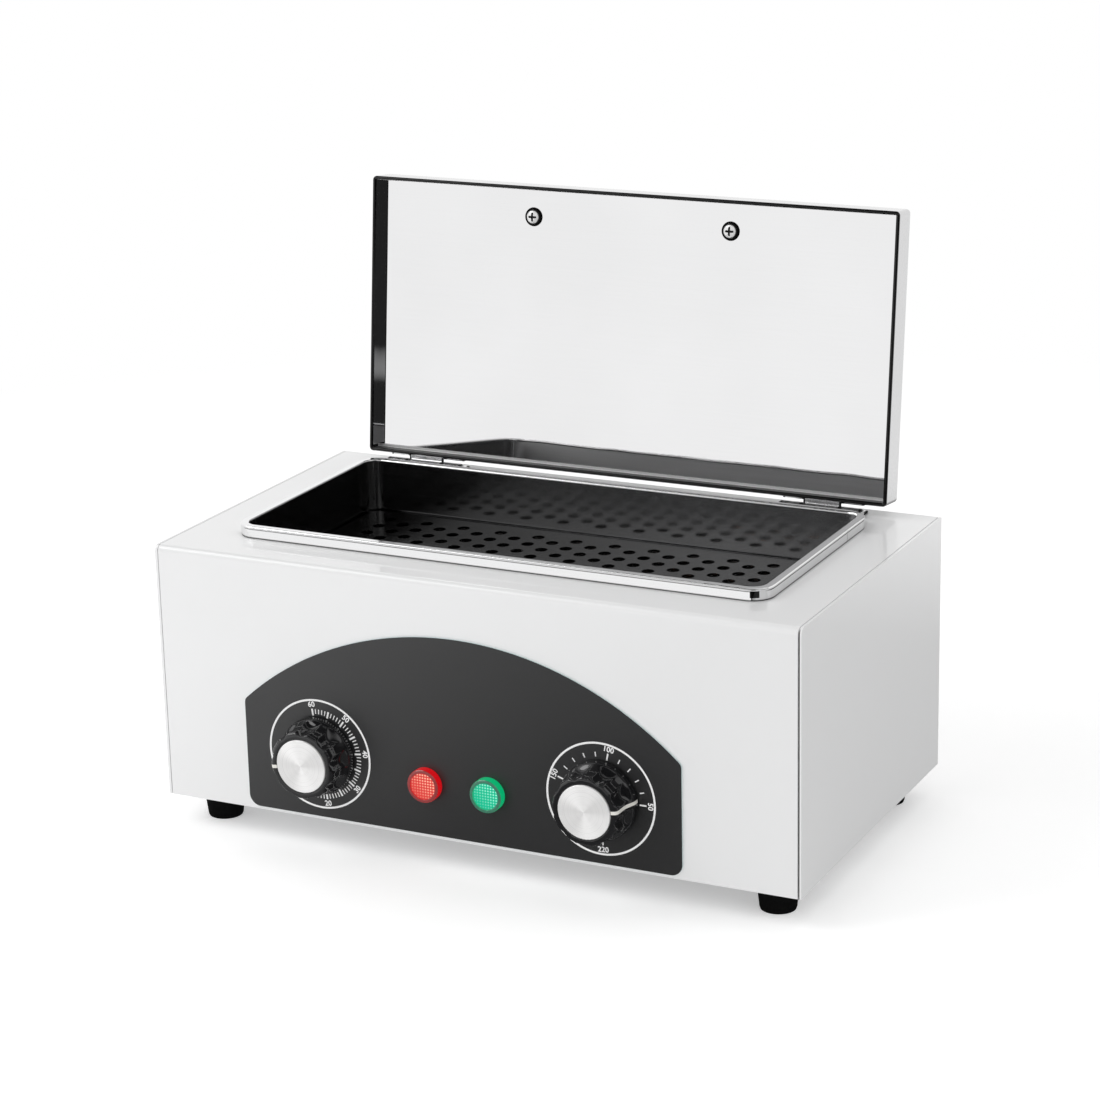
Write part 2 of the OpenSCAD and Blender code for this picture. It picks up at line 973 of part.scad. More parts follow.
// scalloped bell that flares towards the panel, hollow behind, with a bored hub
module knob() {
    top_r = knob_d / 2 - 2.2;
    hub_r = shaft_d / 2 + 3;
    translate([0, 0, panel_t + knob_gap])
        difference() {
            rotate_extrude()
                difference() {
                    union() {
                        polygon([
                            [0, 0], [knob_d / 2, 0], [knob_d / 2, 3], [knob_d / 2 - 0.7, 4.6],
                            [top_r, knob_h * 0.55], [top_r, knob_h - 1.5], [0, knob_h - 1.5]
                        ]);
                        square([top_r - 1.5, knob_h]);
                        translate([top_r - 1.5, knob_h - 1.5])
                            circle(1.5);
                    }
                    translate([cap_d / 2 + 0.1 - 20, knob_h - cap_sink])
                        square([20, 5]);
                }
            difference() {
                translate([0, 0, -1])
                    cylinder(knob_h - 2, r = top_r - 5.6);
                translate([0, 0, panel_t + bushing_out - 0.4])
                    cylinder(knob_h, r = hub_r);
            }
            translate([0, 0, -1])
                cylinder(shaft_front - panel_t - knob_gap + 1.2, d = shaft_d + 0.1);
            for (i = [0:scallops - 1])
                rotate([0, 0, (i + 0.5) * 360 / scallops])
                    translate([top_r + scallop_r - scallop_in, 0, 4])
                        cylinder(knob_h, r = scallop_r);
        }
}

module knob_cap() {
    translate([0, 0, panel_t + knob_gap + knob_h - cap_sink])
        rotate_extrude()
            polygon([
                [0, 0], [cap_d / 2, 0], [cap_d / 2, cap_t - 0.3],
                [cap_d / 2 - 0.3, cap_t], [0, cap_t]
            ]);
}

module thermostat_knob() {
    color([0.07, 0.07, 0.08])
        control_frame(1)
            rotate([0, 0, thermostat_at])
                knob();
}

module thermostat_cap() {
    color("gainsboro")
        control_frame(1)
            knob_cap();
}

module timer_knob() {
    color([0.07, 0.07, 0.08])
        control_frame(0)
            rotate([0, 0, timer_at])
                knob();
}

module timer_cap() {
    color("gainsboro")
        control_frame(0)
            knob_cap();
}

module bushing_nuts() {
    color("silver")
        for (side = [0, 1])
            control_frame(side)
                translate([0, 0, panel_t])
                    difference() {
                        cylinder(2.4, d = 14, $fn = 6);
                        translate([0, 0, -1])
                            cylinder(5, d = bushing_d + 0.1);
                    }
}

module lamp_frame(side) {
    stand()
        translate([lamp_x[side], 0, lamp_z])
            rotate([90, 0, 0])
                children();
}

module lamp_lens() {
    translate([0, 0, panel_t])
        rotate_extrude()
            difference() {
                union() {
                    square([lamp_d / 2, 3.2]);
                    square([lamp_d / 2 - 0.8, 4]);
                    translate([lamp_d / 2 - 0.8, 3.2])
                        circle(0.8);
                }
                translate([-1, -1])
                    square([lamp_d / 2 - 0.4, 3.6]);
            }
}

module lamp_body() {
    hole = lamp_d - 3.2;
    difference() {
        union() {
            translate([0, 0, -18])
                cylinder(18 + panel_t + 2.4, d = hole - 0.4);
            translate([0, 0, -sheet_t - 2.5])
                cylinder(2.5, d = hole + 4, $fn = 6);
            for (y = [-2.5, 2.5])
                translate([-2, y - 0.4, -25])
                    cube([4, 0.8, 8]);
        }
    }
}

module lamp_red_lens() {
    color([0.95, 0.2, 0.16, 0.8])
        lamp_frame(0)
            lamp_lens();
}

module lamp_green_lens() {
    color([0.05, 0.75, 0.5, 0.8])
        lamp_frame(1)
            lamp_lens();
}

module lamp_red_body() {
    color("white")
        lamp_frame(0)
            lamp_body();
}

module lamp_green_body() {
    color("white")
        lamp_frame(1)
            lamp_body();
}

module terminal_block() {
    ways = 4;
    pitch = 10;
    inset_x = 62;
    inset_y = 52;
    color("ivory")
        stand()
            translate([inside_w / 2 - inset_x, body_d - inset_y, 2 * sheet_t])
                difference() {
                    union() {
                        cube([ways * pitch, 18, 6]);
                        for (i = [0:ways - 1])
                            translate([i * pitch + 1, 2, 0])
                                cube([pitch - 2, 14, 14]);
                    }
                    for (i = [0:ways - 1]) {
                        translate([(i + 0.5) * pitch, -1, 9])
                            rotate([-90, 0, 0])
                                cylinder(20, d = 4);
                        for (y = [5.5, 12.5])
                            translate([(i + 0.5) * pitch, y, 9])
                                cylinder(8, d = 3.6);
                    }
                }
}

// lid

module lid_pan() {
    inner_w = lid_w - 2 * lid_t;
    inner_d = lid_d - 2 * lid_t;
    mid_y = lid_near - lid_d / 2;
    color("gainsboro")
        lid_frame()
            difference() {
                translate([0, mid_y, edge_z]) {
                    difference() {
                        union() {
                            translate([0, 0, hem_t / 2])
                                linear_extrude(lid_h - lid_corner - hem_t / 2)
                                    rrect(lid_w, lid_d, lid_corner);
                            translate([0, 0, hem_t])
                                linear_extrude(lid_h - hem_t)
                                    square([lid_w - 2 * lid_corner, lid_d - 2 * lid_corner], center = true);
                            translate([0, 0, lid_h - lid_corner])
                                ring_sweep(lid_w, lid_d, lid_corner)
                                    intersection() {
                                        translate([lid_corner, 0])
                                            circle(lid_corner);
                                        square(lid_corner);
                                    }
                        }
                        translate([0, 0, -1])
                            linear_extrude(lid_h - lid_t + 1)
                                square([inner_w, inner_d], center = true);
                    }
                    ring_sweep(lid_w, lid_d, lid_corner)
                        intersection() {
                            translate([hem_t / 2, hem_t / 2])
                                circle(hem_t / 2);
                            square([hem_t, hem_t / 2]);
                        }
                }
                handle_holes()
                    cylinder(60, d = screw_d + 0.4);
            }
}
lid_corner = 2;

module handle_holes() {
    for (s = [-1, 1])
        translate([s * handle_pitch / 2, post_y, edge_z])
            children();
}

// the polished lining is a shallow pan of its own, its walls inside the skirt
module lid_liner() {
    w = lid_w - 2 * lid_t;
    d = lid_d - 2 * lid_t;
    mid_y = lid_near - lid_d / 2;
    color("lightgray")
        lid_frame()
            difference() {
                translate([0, mid_y, edge_z + hem_t / 2])
                    linear_extrude(liner_recess - hem_t / 2 + liner_t)
                        square([w, d], center = true);
                translate([0, mid_y, edge_z - 1])
                    linear_extrude(liner_recess + 1)
                        square([w - 2 * liner_t, d - 2 * liner_t], center = true);
                handle_holes()
                    cylinder(60, d = screw_d + 0.4);
            }
}

module lid_insulation() {
    mid_y = lid_near - lid_d / 2;
    color("khaki")
        lid_frame()
            difference() {
                translate([0, mid_y, liner_z + liner_t])
                    linear_extrude(lid_h - lid_t - liner_recess - liner_t)
                        square([lid_w - 2 * lid_t - 4, lid_d - 2 * lid_t - 4], center = true);
                handle_holes()
                    cylinder(60, d = screw_d + 6);
            }
}

module lid_handle() {
    color([0.07, 0.07, 0.08])
        lid_frame()
            difference() {
                union() {
                    for (s = [-1, 1])
                        translate([s * handle_pitch / 2, post_y, 0]) {
                            translate([0, 0, lid_top])
                                cylinder(handle_rise - bar_r, r1 = post_r + 2, r2 = post_r);
                            translate([0, 0, bar_z])
                                sphere(post_r - 1 + eps);
                        }
                    translate([-handle_pitch / 2 - 8, post_y, bar_z])
                        rotate([0, 90, 0])
                            cylinder(handle_pitch + 16, r = bar_r);
                    for (s = [-1, 1])
                        translate([s * (handle_pitch / 2 + 8), post_y, bar_z])
                            sphere(bar_r);
                }
                handle_holes()
                    cylinder(lid_h + 12, d = screw_d - 0.2);
            }
}

module lid_screws() {
    color("silver")
        lid_frame()
            handle_holes()
                translate([0, 0, liner_recess])
                    rotate([180, 0, 0]) {
                        pan_screw(screw_d - 0.2, lid_h - liner_recess + 10, 7, 2.2);
                    }
}

// hinges

module hinge_frames() {
    for (s = [-1, 1])
        translate([s * hinge_off, 0, 0])
            children();
}

side_k = hinge_len * 0.26;
mid_k = hinge_len - 2 * side_k - 0.6;
leaf_d = 8.5;

module knuckle(x0, x1) {
    translate([x0, 0, 0])
        rotate([0, 90, 0])
            cylinder(x1 - x0, d = knuckle_d);
}

module pin_bore() {
    translate([-hinge_len, 0, 0])
        rotate([0, 90, 0])
            cylinder(2 * hinge_len, d = pin_d + 0.1);
}

module hinge_body_leaves() {
    color("silver")
        stand()
            translate([0, hinge_y, hinge_z])
                hinge_frames()
                    difference() {
                        union() {
                            for (s = [-1, 1])
                                scale([s, 1, 1]) {
                                    knuckle(mid_k / 2 + 0.3, hinge_len / 2);
                                    translate([mid_k / 2 + 0.3, 0, -axis_h])
                                        cube([side_k, leaf_d, leaf_t]);
                                }
                            translate([-hinge_len / 2, knuckle_d / 2 + 0.5, -axis_h])
                                cube([hinge_len, leaf_d - knuckle_d / 2 - 0.5, leaf_t]);
                        }
                        pin_bore();
                    }
}

module hinge_lid_leaves() {
    color("silver")
        lid_frame()
            hinge_frames()
                difference() {
                    union() {
                        knuckle(-mid_k / 2, mid_k / 2);
                        translate([-mid_k / 2, -skirt_off, knuckle_d / 2 - leaf_t])
                            cube([mid_k, skirt_off, leaf_t]);
                        translate([-mid_k / 2, -skirt_off, knuckle_d / 2 - leaf_t])
                            cube([mid_k, leaf_t, leaf_d - knuckle_d / 2 + leaf_t]);
                        translate([-hinge_len / 2, -skirt_off, knuckle_d / 2 + 0.5])
                            cube([hinge_len, leaf_t, leaf_d - knuckle_d / 2 - 0.5]);
                    }
                    pin_bore();
                }
}

module hinge_pins() {
    color("gray")
        stand()
            translate([0, hinge_y, hinge_z])
                hinge_frames() {
                    translate([-hinge_len / 2 - 0.8, 0, 0])
                        rotate([0, 90, 0])
                            cylinder(hinge_len + 1.6, d = pin_d);
                    for (s = [-1, 1])
                        translate([s * (hinge_len / 2 + 0.4) - 0.4, 0, 0])
                            rotate([0, 90, 0])
                                cylinder(0.8, d = pin_d + 1.2);
                }
}

module hinge_rivets() {
    color("silver")
        stand()
            translate([0, hinge_y, hinge_z - axis_h + leaf_t])
                hinge_frames()
                    for (x = [-0.36, 0.36])
                        translate([x * hinge_len, 6, 0])
                            rotate_extrude()
                                intersection() {
                                    translate([0, -1.5])
                                        circle(2.4);
                                    square([1.9, 1]);
                                }
}

housing_wrap();
side_panel_left();
side_panel_right();
rear_panel();
base_plate();
housing_screws();
cord_grommet();
feet();
foot_screws();
chamber_tank();
chamber_rim();
chamber_insulation();
tray_rails();
tray();
heater_element();
heater_clips();
heater_bushings();
thermostat_capillary();
control_panel();
thermostat_body();
thermostat_shaft();
thermostat_knob();
thermostat_cap();
timer_body();
timer_shaft();
timer_knob();
timer_cap();
bushing_nuts();
lamp_red_lens();
lamp_red_body();
lamp_green_lens();
lamp_green_body();
terminal_block();
lid_pan();
lid_liner();
lid_insulation();
lid_handle();
lid_screws();
hinge_body_leaves();
hinge_lid_leaves();
hinge_pins();
hinge_rivets();
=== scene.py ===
# Bench dry heat sterilizer with its lid open: finishes, dial print, pointers, lenses and a white studio.
import json
import math
import bmesh
import bpy
from mathutils import Matrix, Vector


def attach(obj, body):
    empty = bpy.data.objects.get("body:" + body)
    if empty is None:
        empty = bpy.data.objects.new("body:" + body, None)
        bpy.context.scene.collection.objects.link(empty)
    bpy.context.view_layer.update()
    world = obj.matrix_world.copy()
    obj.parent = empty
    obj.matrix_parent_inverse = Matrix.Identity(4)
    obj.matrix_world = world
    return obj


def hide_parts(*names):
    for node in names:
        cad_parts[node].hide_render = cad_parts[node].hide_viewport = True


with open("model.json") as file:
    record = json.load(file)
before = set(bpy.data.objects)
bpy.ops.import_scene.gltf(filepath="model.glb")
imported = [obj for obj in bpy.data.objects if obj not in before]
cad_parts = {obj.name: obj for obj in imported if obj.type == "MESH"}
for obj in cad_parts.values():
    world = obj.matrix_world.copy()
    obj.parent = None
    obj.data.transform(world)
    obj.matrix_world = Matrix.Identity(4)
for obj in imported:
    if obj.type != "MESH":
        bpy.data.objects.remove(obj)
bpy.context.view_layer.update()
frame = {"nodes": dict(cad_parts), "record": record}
print("frame loaded with", len(frame["nodes"]), "nodes")

mm = 0.001
housing = {"shiftY": -96.61822, "footHeight": 14.0}  # where the drawing's zero lies in the shared frame
dialAt = {"thermostat": (64.5, 31.6), "timer": (-74.5, 31.6)}  # x and z on the front face
lampAt = {"red": (-20.5, 25.6), "green": (10.5, 25.6)}
lid = {"angle": 96.0, "hingeY": 158.6, "hingeZ": 122.05, "liner": 6.75, "screwX": 50.5, "screwY": -123.2}


def spot(x, y, z):  # a point of the drawing in millimetres, as metres in the shared frame
    return Vector((x, y + housing["shiftY"], z + housing["footHeight"])) * mm


def lengths(values):  # lengths in millimetres, as metres
    return tuple(value * mm for value in values)


def depths(values):  # places of the drawing from front to back, in the shared frame
    return tuple(spot(0, value, 0).y for value in values)


def heights(values):  # heights of the drawing, in the shared frame
    return tuple(spot(0, 0, value).z for value in values)


def panelFrame(x, z):  # millimetres on the front face, local Z pointing out of it
    turn = Matrix(((1, 0, 0, 0), (0, 0, -1, 0), (0, 1, 0, 0), (0, 0, 0, 1)))
    return Matrix.Translation(spot(x, 0, z)) @ turn @ Matrix.Diagonal((mm, mm, mm, 1))


def lidFrame(openAngle, hingeY, hingeZ):  # millimetres of the closed lid, turned open on its hinge line
    turn = Matrix.Rotation(math.radians(-openAngle), 4, "X")
    return Matrix.Translation(spot(0, hingeY, hingeZ)) @ turn @ Matrix.Diagonal((mm, mm, mm, 1))


# camera
camera = {"target": spot(-2.2019, 90, 109.6019), "turn": 26.4566, "tilt": 17.1546, "roll": -1.32782,
          "distance": 1.42857, "lens": 102.6242, "sensor": 36, "nearest": 0.05, "farthest": 60}


def addCamera(view):
    turn, tilt, roll = (math.radians(view[angle]) for angle in ("turn", "tilt", "roll"))
    back = Vector((math.sin(turn) * math.cos(tilt), -math.cos(turn) * math.cos(tilt), math.sin(tilt)))
    right = Vector((math.cos(turn), math.sin(turn), 0))
    up = back.cross(right)
    rolledRight = right * math.cos(roll) + up * math.sin(roll)
    rolledUp = up * math.cos(roll) - right * math.sin(roll)
    data = bpy.data.cameras.new("studioCamera")
    data.lens, data.sensor_width = view["lens"], view["sensor"]
    data.clip_start, data.clip_end = view["nearest"], view["farthest"]
    cam = bpy.data.objects.new("studioCamera", data)
    pose = Matrix((rolledRight, rolledUp, back)).transposed().to_4x4()
    cam.matrix_world = Matrix.Translation(view["target"] + back * view["distance"]) @ pose
    bpy.context.scene.collection.objects.link(cam)
    bpy.context.scene.camera = cam


addCamera(camera)
bpy.context.scene.view_settings.view_transform = "Standard"
print("camera placed")


# node helpers
def addNode(tree, kind, values=None, **settings):
    node = tree.nodes.new("ShaderNode" + kind)
    for label, value in settings.items():
        setattr(node, label, value)
    for label, value in (values or {}).items():
        if isinstance(value, bpy.types.NodeSocket):
            tree.links.new(value, node.inputs[label])
        else:
            node.inputs[label].default_value = value
    return node


def mixColours(tree, mask, first, second):  # its sockets 6 and 7 are the two colours
    mix = addNode(tree, "Mix", {0: mask}, data_type="RGBA")
    for slot, colour in ((6, first), (7, second)):
        if isinstance(colour, bpy.types.NodeSocket):
            tree.links.new(colour, mix.inputs[slot])
        else:
            mix.inputs[slot].default_value = (*colour, 1)
    return mix.outputs[2]


def calc(tree, operation, *values):
    return addNode(tree, "Math", dict(enumerate(values)), operation=operation).outputs[0]


def times(tree, first, second):
    return calc(tree, "MULTIPLY", first, second)


def most(tree, largest, *others):  # the largest of several masks
    for other in others:
        largest = calc(tree, "MAXIMUM", largest, other)
    return largest


def distance(tree, value, middle):  # how far a value is from a middle one, on either side
    return calc(tree, "ABSOLUTE", calc(tree, "SUBTRACT", value, middle))


def spread(tree, value, low, high, toLow, toHigh):
    limits = {"From Min": low, "From Max": high, "To Min": toLow, "To Max": toHigh}
    return addNode(tree, "MapRange", {"Value": value, **limits}).outputs[0]


def rise(tree, value, edge):  # from nought to one across an edge
    return spread(tree, value, *edge, 0.0, 1.0)


def fall(tree, value, edge):  # from one to nought across an edge
    return spread(tree, value, *edge, 1.0, 0.0)


def band(tree, value, limits):  # one between two values
    above = calc(tree, "GREATER_THAN", value, limits[0])
    return times(tree, above, calc(tree, "LESS_THAN", value, limits[1]))


def vectorCalc(tree, operation, *values):
    outputs = addNode(tree, "VectorMath", dict(enumerate(values)), operation=operation).outputs
    return outputs["Value"] if operation in ("LENGTH", "DOT_PRODUCT") else outputs[0]


def axes(tree, vector):  # x, y and z of a vector
    return addNode(tree, "SeparateXYZ", {0: vector}).outputs


def normalAxes(tree):  # how far a face looks right, back and up
    return axes(tree, addNode(tree, "NewGeometry").outputs["Normal"])


def noise(tree, vector, scale, detail, **more):
    node = addNode(tree, "TexNoise", {"Vector": vector, "Scale": scale, "Detail": detail, **more})
    return node.outputs["Fac"]


def newGroup(name, inputs, outputs):
    group = bpy.data.node_groups.new(name, "ShaderNodeTree")
    for label, kind, value in inputs:
        socket = group.interface.new_socket(name=label, in_out="INPUT", socket_type="NodeSocket" + kind)
        if value is not None:
            socket.default_value = value
    for label, kind in outputs:
        group.interface.new_socket(name=label, in_out="OUTPUT", socket_type="NodeSocket" + kind)
    return group, group.nodes.new("NodeGroupInput"), group.nodes.new("NodeGroupOutput")


# effects shared by the finishes
def makeBrushedGrain():  # long hairlines along one direction, with slow changes in tone
    group, given, made = newGroup(
        "brushedGrain",
        [("Vector", "Vector", None), ("Stretch", "Vector", (1, 1, 1)), ("Fineness", "Float", 900.0)],
        [("Streak", "Float"), ("Height", "Float"), ("Tone", "Float")])
    stretched = vectorCalc(group, "MULTIPLY", given.outputs["Vector"], given.outputs["Stretch"])
    fine = noise(group, stretched, given.outputs["Fineness"], detail=3.0, Roughness=0.65)
    slow = noise(group, given.outputs["Vector"], scale=14.0, detail=2.0)
    group.links.new(rise(group, fine, (0.3, 0.7)), made.inputs["Streak"])
    group.links.new(fine, made.inputs["Height"])
    group.links.new(slow, made.inputs["Tone"])
    return group


def makeHandling():  # soft patches left by wiping and fingers
    group, given, made = newGroup(
        "handling",
        [("Vector", "Vector", None), ("Size", "Float", 20.0), ("Edge", "Float", 0.55)],
        [("Mask", "Float")])
    where, size = given.outputs["Vector"], given.outputs["Size"]
    wide = noise(group, where, size, detail=5.0, Roughness=0.6, Distortion=0.6)
    group.links.new(rise(group, wide, (given.outputs["Edge"], 0.8)), made.inputs["Mask"])
    return group


def makeSkin():  # the fine unevenness of paint, mouldings and rolled sheet
    group, given, made = newGroup(
        "skin",
        [("Vector", "Vector", None), ("Grain", "Float", 1200.0), ("Wave", "Float", 60.0),
         ("Waviness", "Float", 0.5)],
        [("Height", "Float"), ("Speck", "Float")])
    grain = noise(group, given.outputs["Vector"], given.outputs["Grain"], detail=2.0)
    wave = noise(group, given.outputs["Vector"], given.outputs["Wave"], detail=1.0)
    waved = times(group, wave, given.outputs["Waviness"])
    group.links.new(calc(group, "ADD", grain, waved), made.inputs["Height"])
    group.links.new(rise(group, grain, (0.35, 0.65)), made.inputs["Speck"])
    return group


def makeSettledDust():  # a thin film on whatever faces up
    group, given, made = newGroup(
        "settledDust", [("Vector", "Vector", None), ("Amount", "Float", 0.1)], [("Mask", "Float")])
    upward = rise(group, normalAxes(group)[2], (0.6, 1.0))
    patch = noise(group, given.outputs["Vector"], scale=45.0, detail=4.0)
    film = times(group, upward, spread(group, patch, low=0.35, high=0.75, toLow=0.3, toHigh=1.0))
    group.links.new(times(group, film, given.outputs["Amount"]), made.inputs["Mask"])
    return group


effects = {
    "grain": makeBrushedGrain(),
    "handling": makeHandling(),
    "skin": makeSkin(),
    "dust": makeSettledDust(),
}
print("effects ready")


def addEffect(tree, name, vector, **values):
    node = tree.nodes.new("ShaderNodeGroup")
    node.node_tree = effects[name]
    tree.links.new(vector, node.inputs["Vector"])
    for label, value in values.items():
        node.inputs[label].default_value = value
    return node.outputs


# material helpers
def startMaterial(name, colour, roughness, metallic=0.0, **sockets):
    mat = bpy.data.materials.new(name)
    mat.use_nodes = True
    tree = mat.node_tree
    shader = tree.nodes["Principled BSDF"]
    shader.inputs["Base Color"].default_value = (*colour, 1)
    shader.inputs["Roughness"].default_value = roughness
    shader.inputs["Metallic"].default_value = metallic
    for label, value in sockets.items():
        shader.inputs[label.replace("_", " ")].default_value = value
    where = addNode(tree, "TexCoord").outputs["Object"]
    return mat, tree, shader, where


def feed(tree, shader, slot, value):
    tree.links.new(value, shader.inputs[slot])


def feedRoughness(tree, shader, mask, clean, worn):
    feed(tree, shader, "Roughness", spread(tree, mask, 0.0, 1.0, clean, worn))


def addBump(tree, shader, height, strength, relief):
    bump = addNode(tree, "Bump", {"Height": height, "Strength": strength, "Distance": relief * mm})
    feed(tree, shader, "Normal", bump.outputs[0])


def overlay(mat, slot, mask, value):  # puts a value over what already drives a socket of the shader
    tree = mat.node_tree
    socket = tree.nodes["Principled BSDF"].inputs[slot]
    below = socket.links[0].from_socket
    if isinstance(value, tuple):
        tree.links.new(mixColours(tree, mask, below, value), socket)
    else:
        tree.links.new(addNode(tree, "Mix", {0: mask, 2: below, 3: value}).outputs[0], socket)


def objectPlace(mat):  # the point that a finished material already measures from
    return mat.node_tree.nodes["Texture Coordinate"].outputs["Object"]


def closedLid(tree, where, shape):  # x, y and z measured from the hinge line with the lid shut
    angle = math.radians(shape["angle"])
    hingeLine = Matrix.Rotation(angle, 3, "X") @ spot(0, shape["hingeY"], shape["hingeZ"])
    turn = {"Vector": where, "Location": tuple(-hingeLine), "Rotation": (angle, 0, 0)}
    return axes(tree, addNode(tree, "Mapping", turn).outputs[0])


# painted housing
paint = {
    "colour": (0.87, 0.872, 0.875), "worn": (0.80, 0.80, 0.79), "wear": 0.12, "dust": (0.7, 0.68, 0.64),
    "dustiness": 0.05, "roughness": 0.3, "wornRoughness": 0.38,
    "seam": (154.85, 155.75), "seamFacing": (-0.95, -0.5), "seamColour": (0.05, 0.05, 0.05),
}


def makePaint(look):  # stoved gloss paint on folded sheet, with a seam beside the right front edge
    mat, tree, shader, where = startMaterial(
        "whitePaint", look["colour"], look["roughness"], Coat_Weight=0.6, Coat_Roughness=0.03, IOR=1.5)
    wiped = addEffect(tree, "handling", where, Size=16.0, Edge=0.5)["Mask"]
    skin = addEffect(tree, "skin", where, Grain=2600.0, Wave=90.0, Waviness=1.2)
    dust = addEffect(tree, "dust", where, Amount=look["dustiness"])["Mask"]
    toned = mixColours(tree, times(tree, wiped, look["wear"]), look["colour"], look["worn"])
    feed(tree, shader, "Base Color", mixColours(tree, dust, toned, look["dust"]))
    feedRoughness(tree, shader, wiped, look["roughness"], look["wornRoughness"])
    addBump(tree, shader, skin["Height"], strength=0.05, relief=0.2)
    seam = band(tree, axes(tree, where)[0], lengths(look["seam"]))
    seam = times(tree, seam, fall(tree, normalAxes(tree)[1], look["seamFacing"]))
    overlay(mat, "Base Color", seam, look["seamColour"])
    return mat


# plain metals
steelWork = {"smoother": 0.8, "rougher": 1.25, "wiping": 0.06, "bump": 0.04, "relief": 0.1}
metals = {
    "zinc_steel": {"name": "zincSteel", "colour": (0.6, 0.61, 0.63), "dark": (0.42, 0.43, 0.46),
                   "roughness": 0.34, "stretch": (1, 1, 1), "streak": 0.5, "fineness": 160.0, "wave": 0.0},
    "stainless": {"name": "stainless", "colour": (0.62, 0.62, 0.625), "dark": (0.5, 0.5, 0.5),
                  "roughness": 0.12, "stretch": (0.02, 1, 1), "streak": 0.35, "fineness": 900.0, "wave": 3.0},
    "heater_sheath": {"name": "heaterSheath", "colour": (0.2, 0.19, 0.18), "dark": (0.12, 0.1, 0.09),
                      "roughness": 0.42, "stretch": (1, 1, 1), "streak": 0.6, "fineness": 220.0, "wave": 0.0},
    "copper": {"name": "copper", "colour": (0.75, 0.42, 0.28), "dark": (0.5, 0.26, 0.17),
               "roughness": 0.26, "stretch": (1, 1, 1), "streak": 0.4, "fineness": 200.0, "wave": 0.0},
}


def makeSteel(metal, work):  # hairlines in colour, gloss and relief, with wiped patches
    mat, tree, shader, where = startMaterial(metal["name"], metal["colour"], metal["roughness"], metallic=1.0)
    grain = addEffect(tree, "grain", where, Stretch=metal["stretch"], Fineness=metal["fineness"])
    wiped = addEffect(tree, "handling", where, Size=22.0, Edge=0.5)["Mask"]
    lines = times(tree, grain["Streak"], metal["streak"])
    feed(tree, shader, "Base Color", mixColours(tree, lines, metal["colour"], metal["dark"]))
    smooth, rough = (metal["roughness"] * work[share] for share in ("smoother", "rougher"))
    lined = spread(tree, grain["Streak"], 0.0, 1.0, smooth, rough)
    feed(tree, shader, "Roughness", calc(tree, "ADD", lined, times(tree, wiped, work["wiping"])))
    height = calc(tree, "ADD", grain["Height"], times(tree, grain["Tone"], metal["wave"]))
    addBump(tree, shader, height, work["bump"], work["relief"])
    return mat


# lid skin
lidSkin = {
    "name": "lidSteel", "colour": (0.66, 0.66, 0.665), "dark": (0.54, 0.54, 0.54),
    "roughness": 0.14, "stretch": (0.02, 1, 1), "streak": 0.35, "fineness": 900.0, "wave": 2.0,
    "edge": (0.8, 1.1), "edgeRoughness": 0.035, "rightEnd": (126.0, 131.0), "rightShare": 0.2,
    # lit is the painted highlight on the free edge; the rest of the rolled edge takes painted shade
    "freeEdge": (-135.8, -135.2), "paintedHighlightFacing": (-0.7, -0.6), "lit": (0.95, 0.95, 0.95), "paintedHighlightRoughness": 0.4,
    "leftEnd": (-131.8, -131.2), "paintedShadeFacing": (-0.6, -0.5), "paintedShade": (0.03, 0.03, 0.03),
}


def makeLidSteel(look, shape):  # brushed skin with a smooth rolled edge: a painted highlight where its free edge looks down, painted shade on the rest of the edge and at its left end
    mat = makeSteel(look, steelWork)
    tree = mat.node_tree
    x, y, z = closedLid(tree, objectPlace(mat), shape)
    up = normalAxes(tree)[2]
    rolled = fall(tree, z, lengths(look["edge"]))
    smooth = spread(tree, x, *lengths(look["rightEnd"]), 1.0, look["rightShare"])
    overlay(mat, "Roughness", times(tree, rolled, smooth), look["edgeRoughness"])
    free = times(tree, rolled, fall(tree, y, lengths(look["freeEdge"])))
    # painted highlight: near white and rougher where the free edge looks down
    lit = times(tree, free, fall(tree, up, look["paintedHighlightFacing"]))
    overlay(mat, "Base Color", lit, look["lit"])
    overlay(mat, "Roughness", lit, look["paintedHighlightRoughness"])
    # painted shade: near black on the rest of the rolled edge and along its left end
    paintedShade = most(tree, rise(tree, up, look["paintedShadeFacing"]), fall(tree, x, lengths(look["leftEnd"])))
    overlay(mat, "Base Color", times(tree, rolled, paintedShade), look["paintedShade"])
    return mat


# rim round the chamber
trim = {
    "name": "chromeTrim", "colour": (0.86, 0.86, 0.865), "dark": (0.74, 0.74, 0.75),
    "roughness": 0.07, "stretch": (0.06, 0.06, 1), "streak": 0.12, "fineness": 1200.0, "wave": 0.0,
    "frontFacing": (-0.95, -0.85), "lean": 0.16, "groove": (124.0, 124.5), "grooveShade": (0.3, 0.3, 0.3),
    "sideFacing": (0.8, 0.95), "sideShade": (0.66, 0.66, 0.665), "sideRoughness": 0.24,
    "rightCornerReflection": (0.25, 0.62), "rightFront": (-0.6, -0.5), "rightHeight": (121.4, 124.4),
    "leftCornerReflection": (-0.96, -0.8), "leftFront": (-0.3, -0.2),
    # line is the near black of the painted shade and dark reflection lines
    "rearReflectionLine": (147.1, 148.3), "rearFacing": (0.5, 0.7), "foot": (120.25, 120.8), "line": (0.03, 0.03, 0.03),
}


